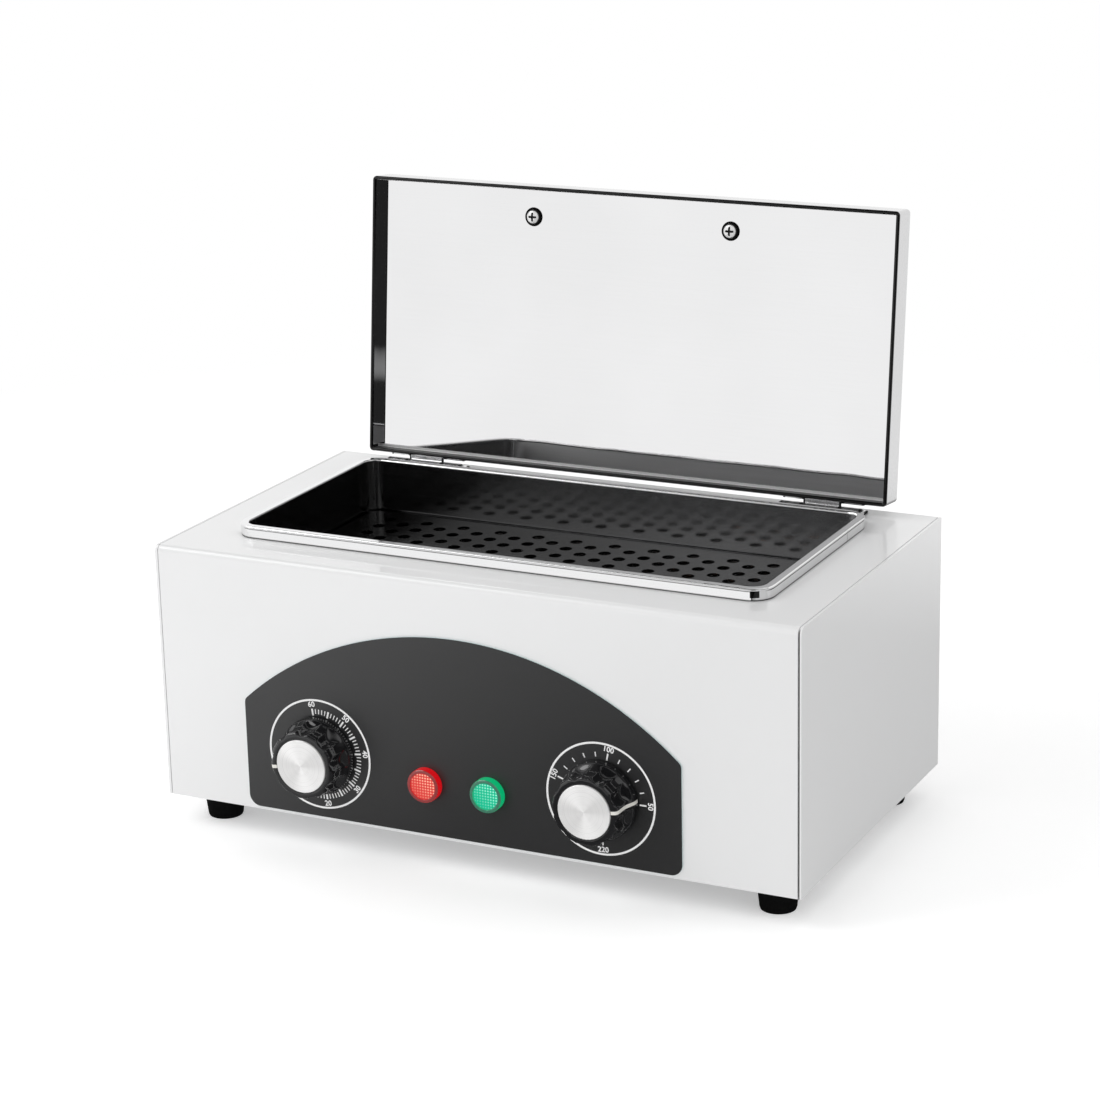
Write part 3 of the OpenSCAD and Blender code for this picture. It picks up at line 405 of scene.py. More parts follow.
def makeTrim(look):  # chromed strip whose front leans back a little; painted shade where it meets the paint, in its groove and on its right wall, and painted dark reflections on its corners and back bead
    mat = makeSteel(look, steelWork)
    tree = mat.node_tree
    y, z = axes(tree, objectPlace(mat))[1:]
    normal = addNode(tree, "NewGeometry").outputs["Normal"]
    right, back, up = axes(tree, normal)
    front = fall(tree, back, look["frontFacing"])
    lean = addNode(tree, "CombineXYZ", {2: times(tree, front, look["lean"])}).outputs[0]
    tilted = vectorCalc(tree, "NORMALIZE", vectorCalc(tree, "ADD", normal, lean))
    tree.links.new(tilted, tree.nodes["Bump"].inputs["Normal"])
    # painted shade: the right wall is a darker grey, and rougher
    side = rise(tree, right, look["sideFacing"])
    overlay(mat, "Base Color", side, look["sideShade"])
    overlay(mat, "Roughness", side, look["sideRoughness"])
    # painted shade in the groove: grey on the front, near black on the right wall
    groove = band(tree, z, heights(look["groove"]))
    overlay(mat, "Base Color", times(tree, front, groove), look["grooveShade"])
    # painted dark reflections on the front corners of the strip
    rightCornerReflection = times(tree, band(tree, right, look["rightCornerReflection"]), fall(tree, back, look["rightFront"]))
    rightCornerReflection = times(tree, rightCornerReflection, band(tree, z, heights(look["rightHeight"])))
    leftCornerReflection = times(tree, band(tree, right, look["leftCornerReflection"]), fall(tree, back, look["leftFront"]))
    # painted dark reflection along the top of the back bead
    rearReflectionLine = times(tree, band(tree, y, depths(look["rearReflectionLine"])), rise(tree, up, look["rearFacing"]))
    # painted shade along the foot, where the strip meets the paint
    foot = fall(tree, z, heights(look["foot"]))
    lines = most(tree, times(tree, side, groove), rightCornerReflection, leftCornerReflection, rearReflectionLine, foot)
    overlay(mat, "Base Color", lines, look["line"])
    return mat


# hinge leaves
hinge = {
    "name": "hingeSteel", "colour": (0.86, 0.86, 0.865), "dark": (0.7, 0.7, 0.71),
    "roughness": 0.16, "stretch": (0.06, 1, 1), "streak": 0.2, "fineness": 1200.0, "wave": 0.0,
    "off": 103.0, "joint": 9.4, "end": 19.75, "shade": 1.0,  # millimetres along the hinge line
    "reflectionBands": ((-0.88, -0.7), (-0.42, -0.25)), "under": (-0.15, 0.0),
    # line is the near black of the painted reflection lines and painted shade
    "line": (0.02, 0.02, 0.02), "lineRoughness": 0.6,
}


def makeHinge(look):  # bright barrels with painted dark reflection lines along them, and painted shade below them, in the joints between the knuckles and past their ends
    mat = makeSteel(look, steelWork)
    tree = mat.node_tree
    back, up = normalAxes(tree)[1:]
    # painted dark reflections: bands where the barrels face partly forward
    barrelReflections = [band(tree, back, limits) for limits in look["reflectionBands"]]
    along = calc(tree, "ABSOLUTE", axes(tree, objectPlace(mat))[0])
    along = distance(tree, along, look["off"] * mm)
    joint = band(tree, along, lengths((look["joint"] - look["shade"], look["joint"] + look["shade"])))
    end = calc(tree, "GREATER_THAN", along, (look["end"] - look["shade"]) * mm)
    # painted shade where the faces look down, in the joints and past the ends
    lines = most(tree, *barrelReflections, fall(tree, up, look["under"]), joint, end)
    overlay(mat, "Base Color", lines, look["line"])
    overlay(mat, "Roughness", lines, look["lineRoughness"])
    return mat


# chamber tank and tray
tank = {
    "name": "tankSteel", "colour": (0.62, 0.62, 0.625), "dark": (0.5, 0.5, 0.5),
    "roughness": 0.12, "stretch": (0.02, 1, 1), "streak": 0.35, "fineness": 900.0, "wave": 3.0,
    "frontFacing": (0.6, 0.9), "frontRoughness": 0.45,
    "shadeSpan": (-130.0, 60.0), "shadeShare": 0.78, "shadeColour": (0.12, 0.12, 0.12),
}
tray = {
    "name": "traySteel", "colour": (0.14, 0.14, 0.143), "dark": (0.09, 0.09, 0.09),
    "roughness": 0.2, "stretch": (0.04, 1, 1), "streak": 0.5, "fineness": 1100.0, "wave": 0.0,
    "shadeSpan": (-100.0, 60.0), "shadeShare": 0.8, "shadeColour": (0.025, 0.025, 0.025),
}


def shadeTowardsLeft(mat, look):  # painted shade, strongest on the left and gone on the right
    x = axes(mat.node_tree, objectPlace(mat))[0]
    return spread(mat.node_tree, x, *lengths(look["shadeSpan"]), look["shadeShare"], 0.0)


def makeTank(look):  # drawn stainless, more scuffed on the front wall, with painted shade darkening the other walls towards the left
    mat = makeSteel(look, steelWork)
    tree = mat.node_tree
    front = rise(tree, normalAxes(tree)[1], look["frontFacing"])
    overlay(mat, "Roughness", front, look["frontRoughness"])
    # painted shade on every wall but the front
    shadedWalls = times(tree, calc(tree, "SUBTRACT", 1.0, front), shadeTowardsLeft(mat, look))
    overlay(mat, "Base Color", shadedWalls, look["shadeColour"])
    return mat


def makeTray(look):  # painted shade darkening it towards the left
    mat = makeSteel(look, steelWork)
    overlay(mat, "Base Color", shadeTowardsLeft(mat, look), look["shadeColour"])
    return mat


# lid lining
mirror = {
    "colour": (0.86, 0.86, 0.865), "clouded": (0.7, 0.7, 0.7),
    "streak": 0.06, "cloud": 0.16, "cloudRange": (0.35, 0.65),
    "roughness": 0.03, "clean": 0.02, "wiped": 0.06, "bump": 0.05, "relief": 4.0,
    "bend": (-6.7, -6.4), "bendHighlight": (0.95, 0.95, 0.95), "bendRoughness": 0.4,
    "wall": (6.2, 6.5), "wallReflection": (0.02, 0.02, 0.02),
}


def makeMirror(look, shape):  # the polished lining: sharp, with the slow ripple of thin sheet, a painted highlight on its bend by the hinge and a painted dark reflection on the wall there
    mat, tree, shader, where = startMaterial(
        "mirrorStainless", look["colour"], look["roughness"], metallic=1.0)
    grain = addEffect(tree, "grain", where, Stretch=(0.02, 1.0, 1.0), Fineness=1600.0)
    wiped = addEffect(tree, "handling", where, Size=11.0, Edge=0.5)["Mask"]
    cloud = spread(tree, grain["Tone"], *look["cloudRange"], 0.0, look["cloud"])
    clouded = calc(tree, "ADD", times(tree, grain["Streak"], look["streak"]), cloud)
    feed(tree, shader, "Base Color", mixColours(tree, clouded, look["colour"], look["clouded"]))
    feedRoughness(tree, shader, wiped, look["clean"], look["wiped"])
    addBump(tree, shader, grain["Tone"], look["bump"], look["relief"])
    y, z = closedLid(tree, where, shape)[1:]
    # painted highlight on the bend, and painted dark reflection on the wall beyond it
    bend = rise(tree, y, lengths(look["bend"]))
    overlay(mat, "Base Color", bend, look["bendHighlight"])
    overlay(mat, "Roughness", bend, look["bendRoughness"])
    overlay(mat, "Base Color", times(tree, bend, fall(tree, z, lengths(look["wall"]))), look["wallReflection"])
    return mat


# lid screws
screwPlate = {
    # dark is the painted shade of the cross and the flank
    "colour": (0.95, 0.95, 0.945), "worn": (0.8, 0.8, 0.8), "wear": 0.15, "dark": (0.01, 0.01, 0.01),
    "roughness": 0.3, "darkRoughness": 0.6, "metallic": 0.15,
    "crossReach": (1.7, 1.9), "crossWidth": (0.45, 0.6), "flank": (1.25, 1.45),
}


def makeScrewPlate(look, shape):  # plating that is bright on the head, with painted shade in the cross and at the flank
    mat, tree, shader, where = startMaterial(
        "screwPlate", look["colour"], look["roughness"], look["metallic"])
    skin = addEffect(tree, "skin", where, Grain=900.0, Wave=200.0)
    worn = mixColours(tree, times(tree, skin["Speck"], look["wear"]), look["colour"], look["worn"])
    x, y, z = closedLid(tree, where, shape)
    height = calc(tree, "SUBTRACT", shape["liner"] * mm, z)
    aside = distance(tree, calc(tree, "ABSOLUTE", x), shape["screwX"] * mm)
    above = distance(tree, y, shape["screwY"] * mm)
    beyond = rise(tree, most(tree, aside, above), lengths(look["crossReach"]))
    beside = rise(tree, calc(tree, "MINIMUM", aside, above), lengths(look["crossWidth"]))
    # lit is the head outside the painted shade of the cross and the flank
    lit = times(tree, most(tree, beyond, beside), rise(tree, height, lengths(look["flank"])))
    feed(tree, shader, "Base Color", mixColours(tree, lit, look["dark"], worn))
    feedRoughness(tree, shader, lit, look["darkRoughness"], look["roughness"])
    addBump(tree, shader, skin["Height"], strength=0.05, relief=0.1)
    return mat


# front panel
panelLook = {
    "face": (0.016, 0.016, 0.017), "speck": (0.03, 0.03, 0.031), "speckShare": 0.25,
    "core": (0.62, 0.74, 0.74), "faceFacing": (0.5, 0.7), "roughness": 0.42, "wornRoughness": 0.48,
}


def makePanel(look):  # satin laminate whose cut edge shows its pale core
    mat, tree, shader, where = startMaterial(
        "charcoalPanel", look["face"], look["roughness"], Specular_IOR_Level=0.8)
    skin = addEffect(tree, "skin", where, Grain=3000.0, Wave=200.0, Waviness=0.3)
    wiped = addEffect(tree, "handling", where, Size=24.0, Edge=0.5)["Mask"]
    edge = fall(tree, calc(tree, "ABSOLUTE", normalAxes(tree)[1]), look["faceFacing"])
    face = mixColours(tree, times(tree, skin["Speck"], look["speckShare"]), look["face"], look["speck"])
    feed(tree, shader, "Base Color", mixColours(tree, edge, face, look["core"]))
    feedRoughness(tree, shader, wiped, look["roughness"], look["wornRoughness"])
    addBump(tree, shader, skin["Height"], strength=0.08, relief=0.1)
    return mat


# knobs and their caps
knobBlack = {"colour": (0.008, 0.008, 0.009), "worn": (0.014, 0.014, 0.015),
             "roughness": 0.09, "clean": 0.07, "handled": 0.16}
capFace = {
    "colour": (0.93, 0.925, 0.92), "roughness": 0.3, "metallic": 0.1, "smooth": 0.26, "rough": 0.36,
    # lit is the colour of the painted highlight fans
    "plain": (0.76, 0.755, 0.75), "ring": (0.69, 0.685, 0.68), "ringShare": 0.12, "lit": (1.0, 0.995, 0.99),
    "enlarged": 40, "rings": 90.0, "ringRange": (0.3, 0.7),  # the first two set the rings' fineness
    "wide": (2.0, 2.3), "narrow": (5.0, 0.9), "narrowShare": 0.35,  # painted highlight fans in a turn, and where they start
    "fanHighlightRange": (-1.0, 1.2),
}


def makeGlossBlack(look):  # moulded knobs, duller where fingers turn them
    mat, tree, shader, where = startMaterial(
        "blackGloss", look["colour"], look["roughness"], Coat_Weight=0.4, Coat_Roughness=0.03)
    skin = addEffect(tree, "skin", where, Grain=700.0, Wave=160.0, Waviness=1.0)
    worn = addEffect(tree, "handling", where, Size=55.0, Edge=0.5)["Mask"]
    feed(tree, shader, "Base Color", mixColours(tree, worn, look["colour"], look["worn"]))
    feedRoughness(tree, shader, worn, look["clean"], look["handled"])
    addBump(tree, shader, skin["Height"], strength=0.012, relief=0.2)
    return mat


def makeSpun(look):  # turned face: rings round the middle, with painted highlights in fans across them
    mat, tree, shader, where = startMaterial(
        "spunAluminium", look["colour"], look["roughness"], look["metallic"], Anisotropic=0.85)
    (timerX, middleZ), (thermostatX, _) = dialAt["timer"], dialAt["thermostat"]
    x = axes(tree, where)[0]
    nearest = spread(tree, x, -mm, mm, timerX * mm, thermostatX * mm)  # the dial on this side of the middle
    centre = addNode(tree, "CombineXYZ", {0: nearest, 2: spot(0, 0, middleZ).z}).outputs[0]
    flat = vectorCalc(tree, "SUBTRACT", where, centre)
    flat = vectorCalc(tree, "MULTIPLY", flat, (look["enlarged"], 0, look["enlarged"]))
    radius = times(tree, vectorCalc(tree, "LENGTH", flat), look["rings"])
    rings = addNode(tree, "TexNoise", {"W": radius, "Scale": 1.0, "Detail": 3.0}, noise_dimensions="1D")
    rings = rings.outputs["Fac"]
    across, _, upward = axes(tree, flat)
    bearing = calc(tree, "ARCTAN2", upward, across)
    wide, narrow = (
        calc(tree, "COSINE", calc(tree, "ADD", times(tree, bearing, count), start))
        for count, start in (look["wide"], look["narrow"]))
    fanHighlights = calc(tree, "ADD", wide, times(tree, narrow, look["narrowShare"]))
    ringed = spread(tree, rings, *look["ringRange"], 0.0, look["ringShare"])
    plain = mixColours(tree, ringed, look["plain"], look["ring"])
    # painted highlight: fans of near white across the ringed tone
    feed(tree, shader, "Base Color", mixColours(tree, rise(tree, fanHighlights, look["fanHighlightRange"]), plain, look["lit"]))
    feed(tree, shader, "Roughness", spread(tree, rings, *look["ringRange"], look["smooth"], look["rough"]))
    tangent = addNode(tree, "Tangent", direction_type="RADIAL", axis="Y")
    feed(tree, shader, "Tangent", tangent.outputs[0])
    addBump(tree, shader, rings, strength=0.02, relief=0.2)
    return mat


# lamp glass
glass = {
    "roughness": 0.1, "fleck": 0.4, "dot": (0.16, 0.4), "dotFade": (-6.0, 6.0), "dotLeast": 0.2,
    "faceRadius": (5.8, 6.2), "wallFacing": (-0.75, -0.45),
}
glassColours = {
    "red": {"colour": (0.25, 0.01, 0.01), "deep": (0.12, 0.0, 0.0), "face": (0.55, 0.045, 0.035),
            "point": (1.1, 0.62, 0.45), "ring": (0.08, 0.035, 0.035), "wall": (0.5, 0.0, 0.004)},
    "green": {"colour": (0.005, 0.15, 0.08), "deep": (0.0, 0.06, 0.03), "face": (0.0, 0.42, 0.23),
              "point": (0.4, 1.0, 0.78), "ring": (0.045, 0.07, 0.06), "wall": (0.0, 0.38, 0.13)},
}
prism = {"pitch": 1.3, "field": 5.75, "floor": 3.4, "peak": 3.65}


def makeLens(name, tint, look, middle):  # coloured plastic over a neon lamp, a bright point behind each prism
    mat, tree, shader, where = startMaterial(
        name, tint["colour"], look["roughness"], Specular_IOR_Level=0.35, Coat_Weight=0.5,
        Coat_Roughness=0.02, Emission_Strength=1.0)
    flat = vectorCalc(tree, "MULTIPLY", vectorCalc(tree, "SUBTRACT", where, middle), (1, 0, 1))
    pitch = prism["pitch"] * mm
    cells = vectorCalc(tree, "ADD", flat, (pitch / 2, pitch / 2, pitch / 2))
    cells = vectorCalc(tree, "MULTIPLY", cells, (1 / pitch, 1 / pitch, 1 / pitch))
    cells = vectorCalc(tree, "SUBTRACT", vectorCalc(tree, "FRACTION", cells), (0.5, 0.5, 0.5))
    dot = fall(tree, vectorCalc(tree, "LENGTH", cells), look["dot"])
    upRight = vectorCalc(tree, "DOT_PRODUCT", flat, (1, 0, 1))
    point = times(tree, dot, spread(tree, upRight, *lengths(look["dotFade"]), look["dotLeast"], 1.0))
    flecks = addEffect(tree, "skin", where, Grain=700.0, Wave=300.0)["Speck"]
    body = mixColours(tree, times(tree, flecks, look["fleck"]), tint["colour"], tint["deep"])
    feed(tree, shader, "Base Color", body)
    lit = mixColours(tree, point, tint["face"], tint["point"])
    rim = mixColours(tree, rise(tree, normalAxes(tree)[1], look["wallFacing"]), tint["ring"], tint["wall"])
    inside = fall(tree, vectorCalc(tree, "LENGTH", flat), lengths(look["faceRadius"]))
    feed(tree, shader, "Emission Color", mixColours(tree, inside, rim, lit))
    return mat


# plastics, rubber, wool and print
plains = {
    "black_rubber": {"name": "blackRubber", "colour": (0.004, 0.004, 0.004), "second": (0.009, 0.009, 0.009),
                     "roughness": 0.72, "grain": 1500.0, "amount": 0.3, "bump": 0.1,
                     "sockets": {"Specular_IOR_Level": 0.02}},
    "mineral_wool": {"name": "mineralWool", "colour": (0.66, 0.58, 0.36), "second": (0.42, 0.36, 0.2),
                     "roughness": 0.95, "grain": 500.0, "amount": 0.9, "bump": 0.8, "sockets": {}},
    "ceramic": {"name": "ceramic", "colour": (0.84, 0.81, 0.73), "second": (0.72, 0.68, 0.6),
                "roughness": 0.2, "grain": 900.0, "amount": 0.3, "bump": 0.05,
                "sockets": {"Coat_Weight": 0.5}},
    "tan_plastic": {"name": "tanPhenolic", "colour": (0.36, 0.22, 0.11), "second": (0.22, 0.13, 0.06),
                    "roughness": 0.42, "grain": 700.0, "amount": 0.6, "bump": 0.1, "sockets": {}},
    "white_nylon": {"name": "whiteNylon", "colour": (0.82, 0.8, 0.75), "second": (0.7, 0.68, 0.62),
                    "roughness": 0.45, "grain": 900.0, "amount": 0.2, "bump": 0.1, "sockets": {}},
    "print_white": {"name": "printWhite", "colour": (1.0, 1.0, 1.0), "second": (0.92, 0.92, 0.92),
                    "roughness": 0.5, "grain": 900.0, "amount": 0.1, "bump": 0.1, "sockets": {}},
}
plainWork = {"grainsInWave": 15, "handledShare": 0.5, "duller": 0.1, "relief": 0.2}


def makePlain(look, work):  # specks of a second tone, and handled patches that are duller
    mat, tree, shader, where = startMaterial(
        look["name"], look["colour"], look["roughness"], **look["sockets"])
    skin = addEffect(tree, "skin", where, Grain=look["grain"], Wave=look["grain"] / work["grainsInWave"])
    worn = addEffect(tree, "handling", where, Size=60.0, Edge=0.45)["Mask"]
    speckled = mixColours(tree, times(tree, skin["Speck"], look["amount"]), look["colour"], look["second"])
    handled = times(tree, worn, look["amount"] * work["handledShare"])
    feed(tree, shader, "Base Color", mixColours(tree, handled, speckled, look["second"]))
    feedRoughness(tree, shader, worn, look["roughness"], min(1.0, look["roughness"] + work["duller"]))
    addBump(tree, shader, skin["Height"], strength=look["bump"], relief=work["relief"])
    return mat


finishes = {
    "white_paint": makePaint(paint),
    "lid_steel": makeLidSteel(lidSkin, lid),
    "chrome_trim": makeTrim(trim),
    "hinge_steel": makeHinge(hinge),
    "tank_steel": makeTank(tank),
    "tray_steel": makeTray(tray),
    "mirror_stainless": makeMirror(mirror, lid),
    "screw_plate": makeScrewPlate(screwPlate, lid),
    "charcoal_panel": makePanel(panelLook),
    "black_gloss": makeGlossBlack(knobBlack),
    "spun_aluminium": makeSpun(capFace),
}
for slotName, metal in metals.items():
    finishes[slotName] = makeSteel(metal, steelWork)
for slotName, look in plains.items():
    finishes[slotName] = makePlain(look, plainWork)
for colour, (x, z) in lampAt.items():
    finishes[colour + "_lens"] = makeLens(colour + "Lens", glassColours[colour], glass, tuple(spot(x, 0, z)))
print("finishes made:", len(finishes))

ownFinish = {  # nodes that take another finish than their slot in the record
    "lid_screws": "screw_plate", "lid_pan": "lid_steel", "chamber_tank": "tank_steel",
    "hinge_body_leaves": "hinge_steel", "hinge_lid_leaves": "hinge_steel",
}


def dressFrame(changed):
    slots = {part["node"]: part["material_slot"] for part in frame["record"]["subparts"]}
    slots.update(changed)
    for name, obj in frame["nodes"].items():
        obj.data.materials.clear()
        obj.data.materials.append(finishes[slots[name]])


dressFrame(ownFinish)
print("frame dressed")


# mesh helpers
def addMeshObject(name, bm, mat):
    mesh = bpy.data.meshes.new(name)
    bm.to_mesh(mesh)
    bm.free()
    mesh.materials.append(mat)
    obj = bpy.data.objects.new(name, mesh)
    bpy.context.scene.collection.objects.link(obj)
    return obj


def finishPiece(name, bm, frameMatrix, finish, body, sharpest=32):
    bmesh.ops.transform(bm, matrix=frameMatrix, verts=bm.verts)
    bmesh.ops.recalc_face_normals(bm, faces=bm.faces)
    for edge in bm.edges:
        edge.smooth = len(edge.link_faces) == 2 and edge.calc_face_angle(0) < math.radians(sharpest)
    for face in bm.faces:
        face.smooth = True
    obj = addMeshObject(name, bm, finishes[finish])
    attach(obj, body)
    return obj


def lathe(bm, profile, segments, shape=None):  # profile of (radius, height); shape gives the real radius
    axis = 1e-6  # a smaller radius is a point on the axis
    rings = []
    for radius, height in profile:
        if radius < axis:
            rings.append([bm.verts.new((0, 0, height))])
            continue
        ring = []
        for i in range(segments):
            angle = 2 * math.pi * i / segments
            real = shape(radius, height, angle) if shape else radius
            ring.append(bm.verts.new((real * math.cos(angle), real * math.sin(angle), height)))
        rings.append(ring)
    closed = profile[0][0] > axis and profile[-1][0] > axis
    pairs = list(zip(rings, rings[1:])) + ([(rings[-1], rings[0])] if closed else [])
    for this, other in pairs:
        for i in range(segments):
            j = (i + 1) % segments
            corners = [this[i % len(this)], this[j % len(this)], other[j % len(other)], other[i % len(other)]]
            unique = list(dict.fromkeys(corners))
            if len(unique) > 2:
                bm.faces.new(unique)


def addBand(bm, inner, outer, low, high, segments):
    lathe(bm, [(inner, low), (outer, low), (outer, high), (inner, high)], segments)


def joinRings(bm, first, second):  # faces between two loops of vertices
    for i in range(len(first)):
        j = (i + 1) % len(first)
        bm.faces.new((first[i], first[j], second[j], second[i]))


def addBar(bm, angle, inner, outer, width, low, high):  # a radial tick
    out = Vector((math.cos(angle), math.sin(angle), 0))
    side = Vector((-math.sin(angle), math.cos(angle), 0))
    half = width / 2
    outline = ((inner, -half), (outer, -half), (outer, half), (inner, half))
    base = [out * reach + side * aside for reach, aside in outline]
    lower, upper = ([bm.verts.new(point + Vector((0, 0, z))) for point in base] for z in (low, high))
    bm.faces.new(lower[::-1])
    bm.faces.new(upper)
    joinRings(bm, lower, upper)


def addFigures(bm, text, degrees, ink):  # plain numbers set round a dial
    data = bpy.data.curves.new("figures", "FONT")
    data.body, data.align_x, data.align_y = text, "CENTER", "CENTER"
    data.size, data.offset = ink["figureSize"], ink["figureSize"] * ink["figureBoldness"]
    data.extrude, data.resolution_u = (ink["high"] - ink["low"]) / 2, ink["figureCurves"]
    helper = bpy.data.objects.new("figures", data)
    bpy.context.scene.collection.objects.link(helper)
    mesh = bpy.data.meshes.new_from_object(helper.evaluated_get(bpy.context.evaluated_depsgraph_get()))
    first, last = ink["turnedOver"]
    angle, radius = math.radians(degrees), ink["figureRadius"]
    lean = angle + (math.pi / 2 if first < degrees % 360 < last else -math.pi / 2)
    place = Vector((radius * math.cos(angle), radius * math.sin(angle), (ink["low"] + ink["high"]) / 2))
    mesh.transform(Matrix.Translation(place) @ Matrix.Rotation(lean, 4, "Z"))
    bm.from_mesh(mesh)
    bpy.data.meshes.remove(mesh)
    bpy.data.objects.remove(helper)
    bpy.data.curves.remove(data)


# dial print
dials = {  # angles in degrees, ticks as inner radius, outer radius and width
    "thermostat": {"at": dialAt["thermostat"], "pointer": 7.0, "zero": 0.0, "step": 16.0,
                   "marks": [*range(11), 17], "longEvery": 5,
                   "tick": (19.3, 21.4, 0.5), "long": (18.4, 21.6, 0.75),
                   "figures": {0: "50", 80: "100", 160: "150", 208: "180", 240: "200", 272: "220"}},
    "timer": {"at": dialAt["timer"], "pointer": 188.0, "zero": 188.0, "step": 4.5,
              "marks": range(61), "longEvery": 5,
              "tick": (19.0, 21.2, 0.45), "long": (18.2, 21.4, 0.85),
              "figures": {188: "0", 233: "10", 278: "20", 323: "30", 368: "40", 413: "50", 458: "60"}},
}
printing = {
    "ring": 25.5, "line": 0.9, "segments": 160, "low": 0.79, "high": 0.84, "finish": "print_white",
    "figureRadius": 23.4, "figureSize": 3.5, "figureBoldness": 0.022, "figureCurves": 3,
    "turnedOver": (200, 340),  # low on the dial the figures stand the other way up
}


def makeDial(name, dial, ink):
    bm = bmesh.new()
    low, high, half = ink["low"], ink["high"], ink["line"] / 2
    addBand(bm, ink["ring"] - half, ink["ring"] + half, low, high, ink["segments"])
    for i in dial["marks"]:
        inner, outer, width = dial["long" if i % dial["longEvery"] == 0 else "tick"]
        addBar(bm, math.radians(dial["zero"] + i * dial["step"]), inner, outer, width, low, high)
    for degrees, text in dial["figures"].items():
        addFigures(bm, text, degrees, ink)
    finishPiece(name + "Print", bm, panelFrame(*dial["at"]), ink["finish"], "housing")


for dialName, dial in dials.items():
    makeDial(dialName, dial, printing)
print("dials printed")

# knobs
knob = {
    "base": 1.6, "segments": 288, "waves": 9, "waveRadius": 5.6, "waveDepth": 1.3, "topRadius": 15.8,
    "waveFoot": 3.5, "waveFade": 5.0, "capRadius": 12.7, "rounding": 0.18, "proud": 0.02,
    "outside": [(0, 15.4), (12.4, 15.4), (12.45, 15.5), (12.6, 15.85), (12.9, 16.0), (14.3, 16.0),
                (14.9, 15.87), (15.4, 15.5), (15.7, 15.0), (15.8, 14.5), (15.8, 12.5), (15.8, 10.6),
                (15.85, 9.6), (15.98, 8.4), (16.25, 7.2), (16.6, 6.2), (17.0, 5.2), (17.4, 4.3),
                (17.75, 3.5), (17.93, 2.7), (18.0, 1.8), (18.0, 0.5), (17.9, 0.1), (17.7, 0.0)],
    "inside": [(16.4, 0.0), (15.9, 2.0), (14.2, 4.6), (13.4, 8.0), (10.4, 12.8), (6.0, 13.0), (6.0, 5.2),
               (3.05, 5.2), (3.05, 12.3), (0, 12.3)],
}
pointer = {"width": 1.5, "rise": 0.1, "sink": 0.3}


def knobRadius(shape, radius, height, angle):  # finger scallops, fading into the flare
    if height < shape["waveFoot"] or radius < shape["capRadius"]:
        return radius
    share = 2 * math.pi / shape["waves"]
    off = (angle % share) - share / 2
    centre = shape["topRadius"] + shape["waveRadius"] - shape["waveDepth"]
    inside = shape["waveRadius"] ** 2 - (centre * math.sin(off)) ** 2
    cut = radius
    if inside > 0:
        cut = centre * math.cos(off) - math.sqrt(inside)
    soft = shape["rounding"]  # a rounded meeting of the two
    cut = -soft * math.log(math.exp(-cut / soft) + math.exp(-radius / soft)) + shape["proud"]
    fade = min(1.0, max(0.0, (height - shape["waveFoot"]) / shape["waveFade"]))
    fade = fade * fade * (3 - 2 * fade)
    return radius - max(0.0, radius - cut) * fade


def onDial(dial, shape):  # millimetres of a knob, turned to where its pointer stands
    turn = Matrix.Rotation(math.radians(dial["pointer"]), 4, "Z")
    return panelFrame(*dial["at"]) @ Matrix.Translation((0, 0, shape["base"])) @ turn


def makeKnob(name, dial, shape):
    bm = bmesh.new()
    lathe(bm, shape["outside"], shape["segments"], lambda r, z, turn: knobRadius(shape, r, z, turn))
    lathe(bm, shape["outside"][-1:] + shape["inside"], shape["segments"])
    bmesh.ops.remove_doubles(bm, verts=bm.verts, dist=1e-4)
    piece = finishPiece(name + "Knob", bm, onDial(dial, shape), "black_gloss", name + "_dial", sharpest=50)
    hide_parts(name + "_knob")


def makePointer(name, dial, shape, line):  # the filled line from the cap down the flank
    flank = shape["outside"][3:-1]  # from just outside the cap to just above the foot
    path = [Vector((knobRadius(shape, r, z, 0.0), z)) for r, z in flank]
    bm = bmesh.new()
    rows = []
    half = line["width"] / 2
    for i, point in enumerate(path):
        ahead, behind = path[min(i + 1, len(path) - 1)], path[max(i - 1, 0)]
        along = (ahead - behind).normalized()
        out = Vector((-along.y, along.x))
        outer, inner = point + out * line["rise"], point - out * line["sink"]
        rows.append([bm.verts.new(corner) for corner in (
            (outer.x, -half, outer.y), (outer.x, half, outer.y),
            (inner.x, half, inner.y), (inner.x, -half, inner.y))])
    for this, following in zip(rows, rows[1:]):
        joinRings(bm, this, following)
    bm.faces.new(rows[0][::-1])
    bm.faces.new(rows[-1])
    finishPiece(name + "Pointer", bm, onDial(dial, shape), "white_nylon", name + "_dial")


for dialName, dial in dials.items():
    makeKnob(dialName, dial, knob)
    makePointer(dialName, dial, knob, pointer)
print("knobs turned")

# lamp lenses
lens = {
    "profile": [(0, 3.45), (6.1, 3.45), (6.2, 3.9), (6.35, 4.0), (7.0, 4.0), (7.4, 3.9), (7.65, 3.65),
                (7.75, 3.2), (7.75, 0.0), (7.35, 0.0), (7.35, 2.6), (0, 2.6)],
    "panel": 0.8, "segments": 96,
}


def addPrism(bm, x, y, grid):  # a low pyramid
    half = grid["pitch"] / 2
    base = ((x - half, y - half), (x + half, y - half), (x + half, y + half), (x - half, y + half))
    corners = [bm.verts.new((*corner, grid["floor"])) for corner in base]
    tip = bm.verts.new((x, y, grid["peak"]))
    bm.faces.new(corners[::-1])
    for i in range(4):
        bm.faces.new((corners[i], corners[(i + 1) % 4], tip))


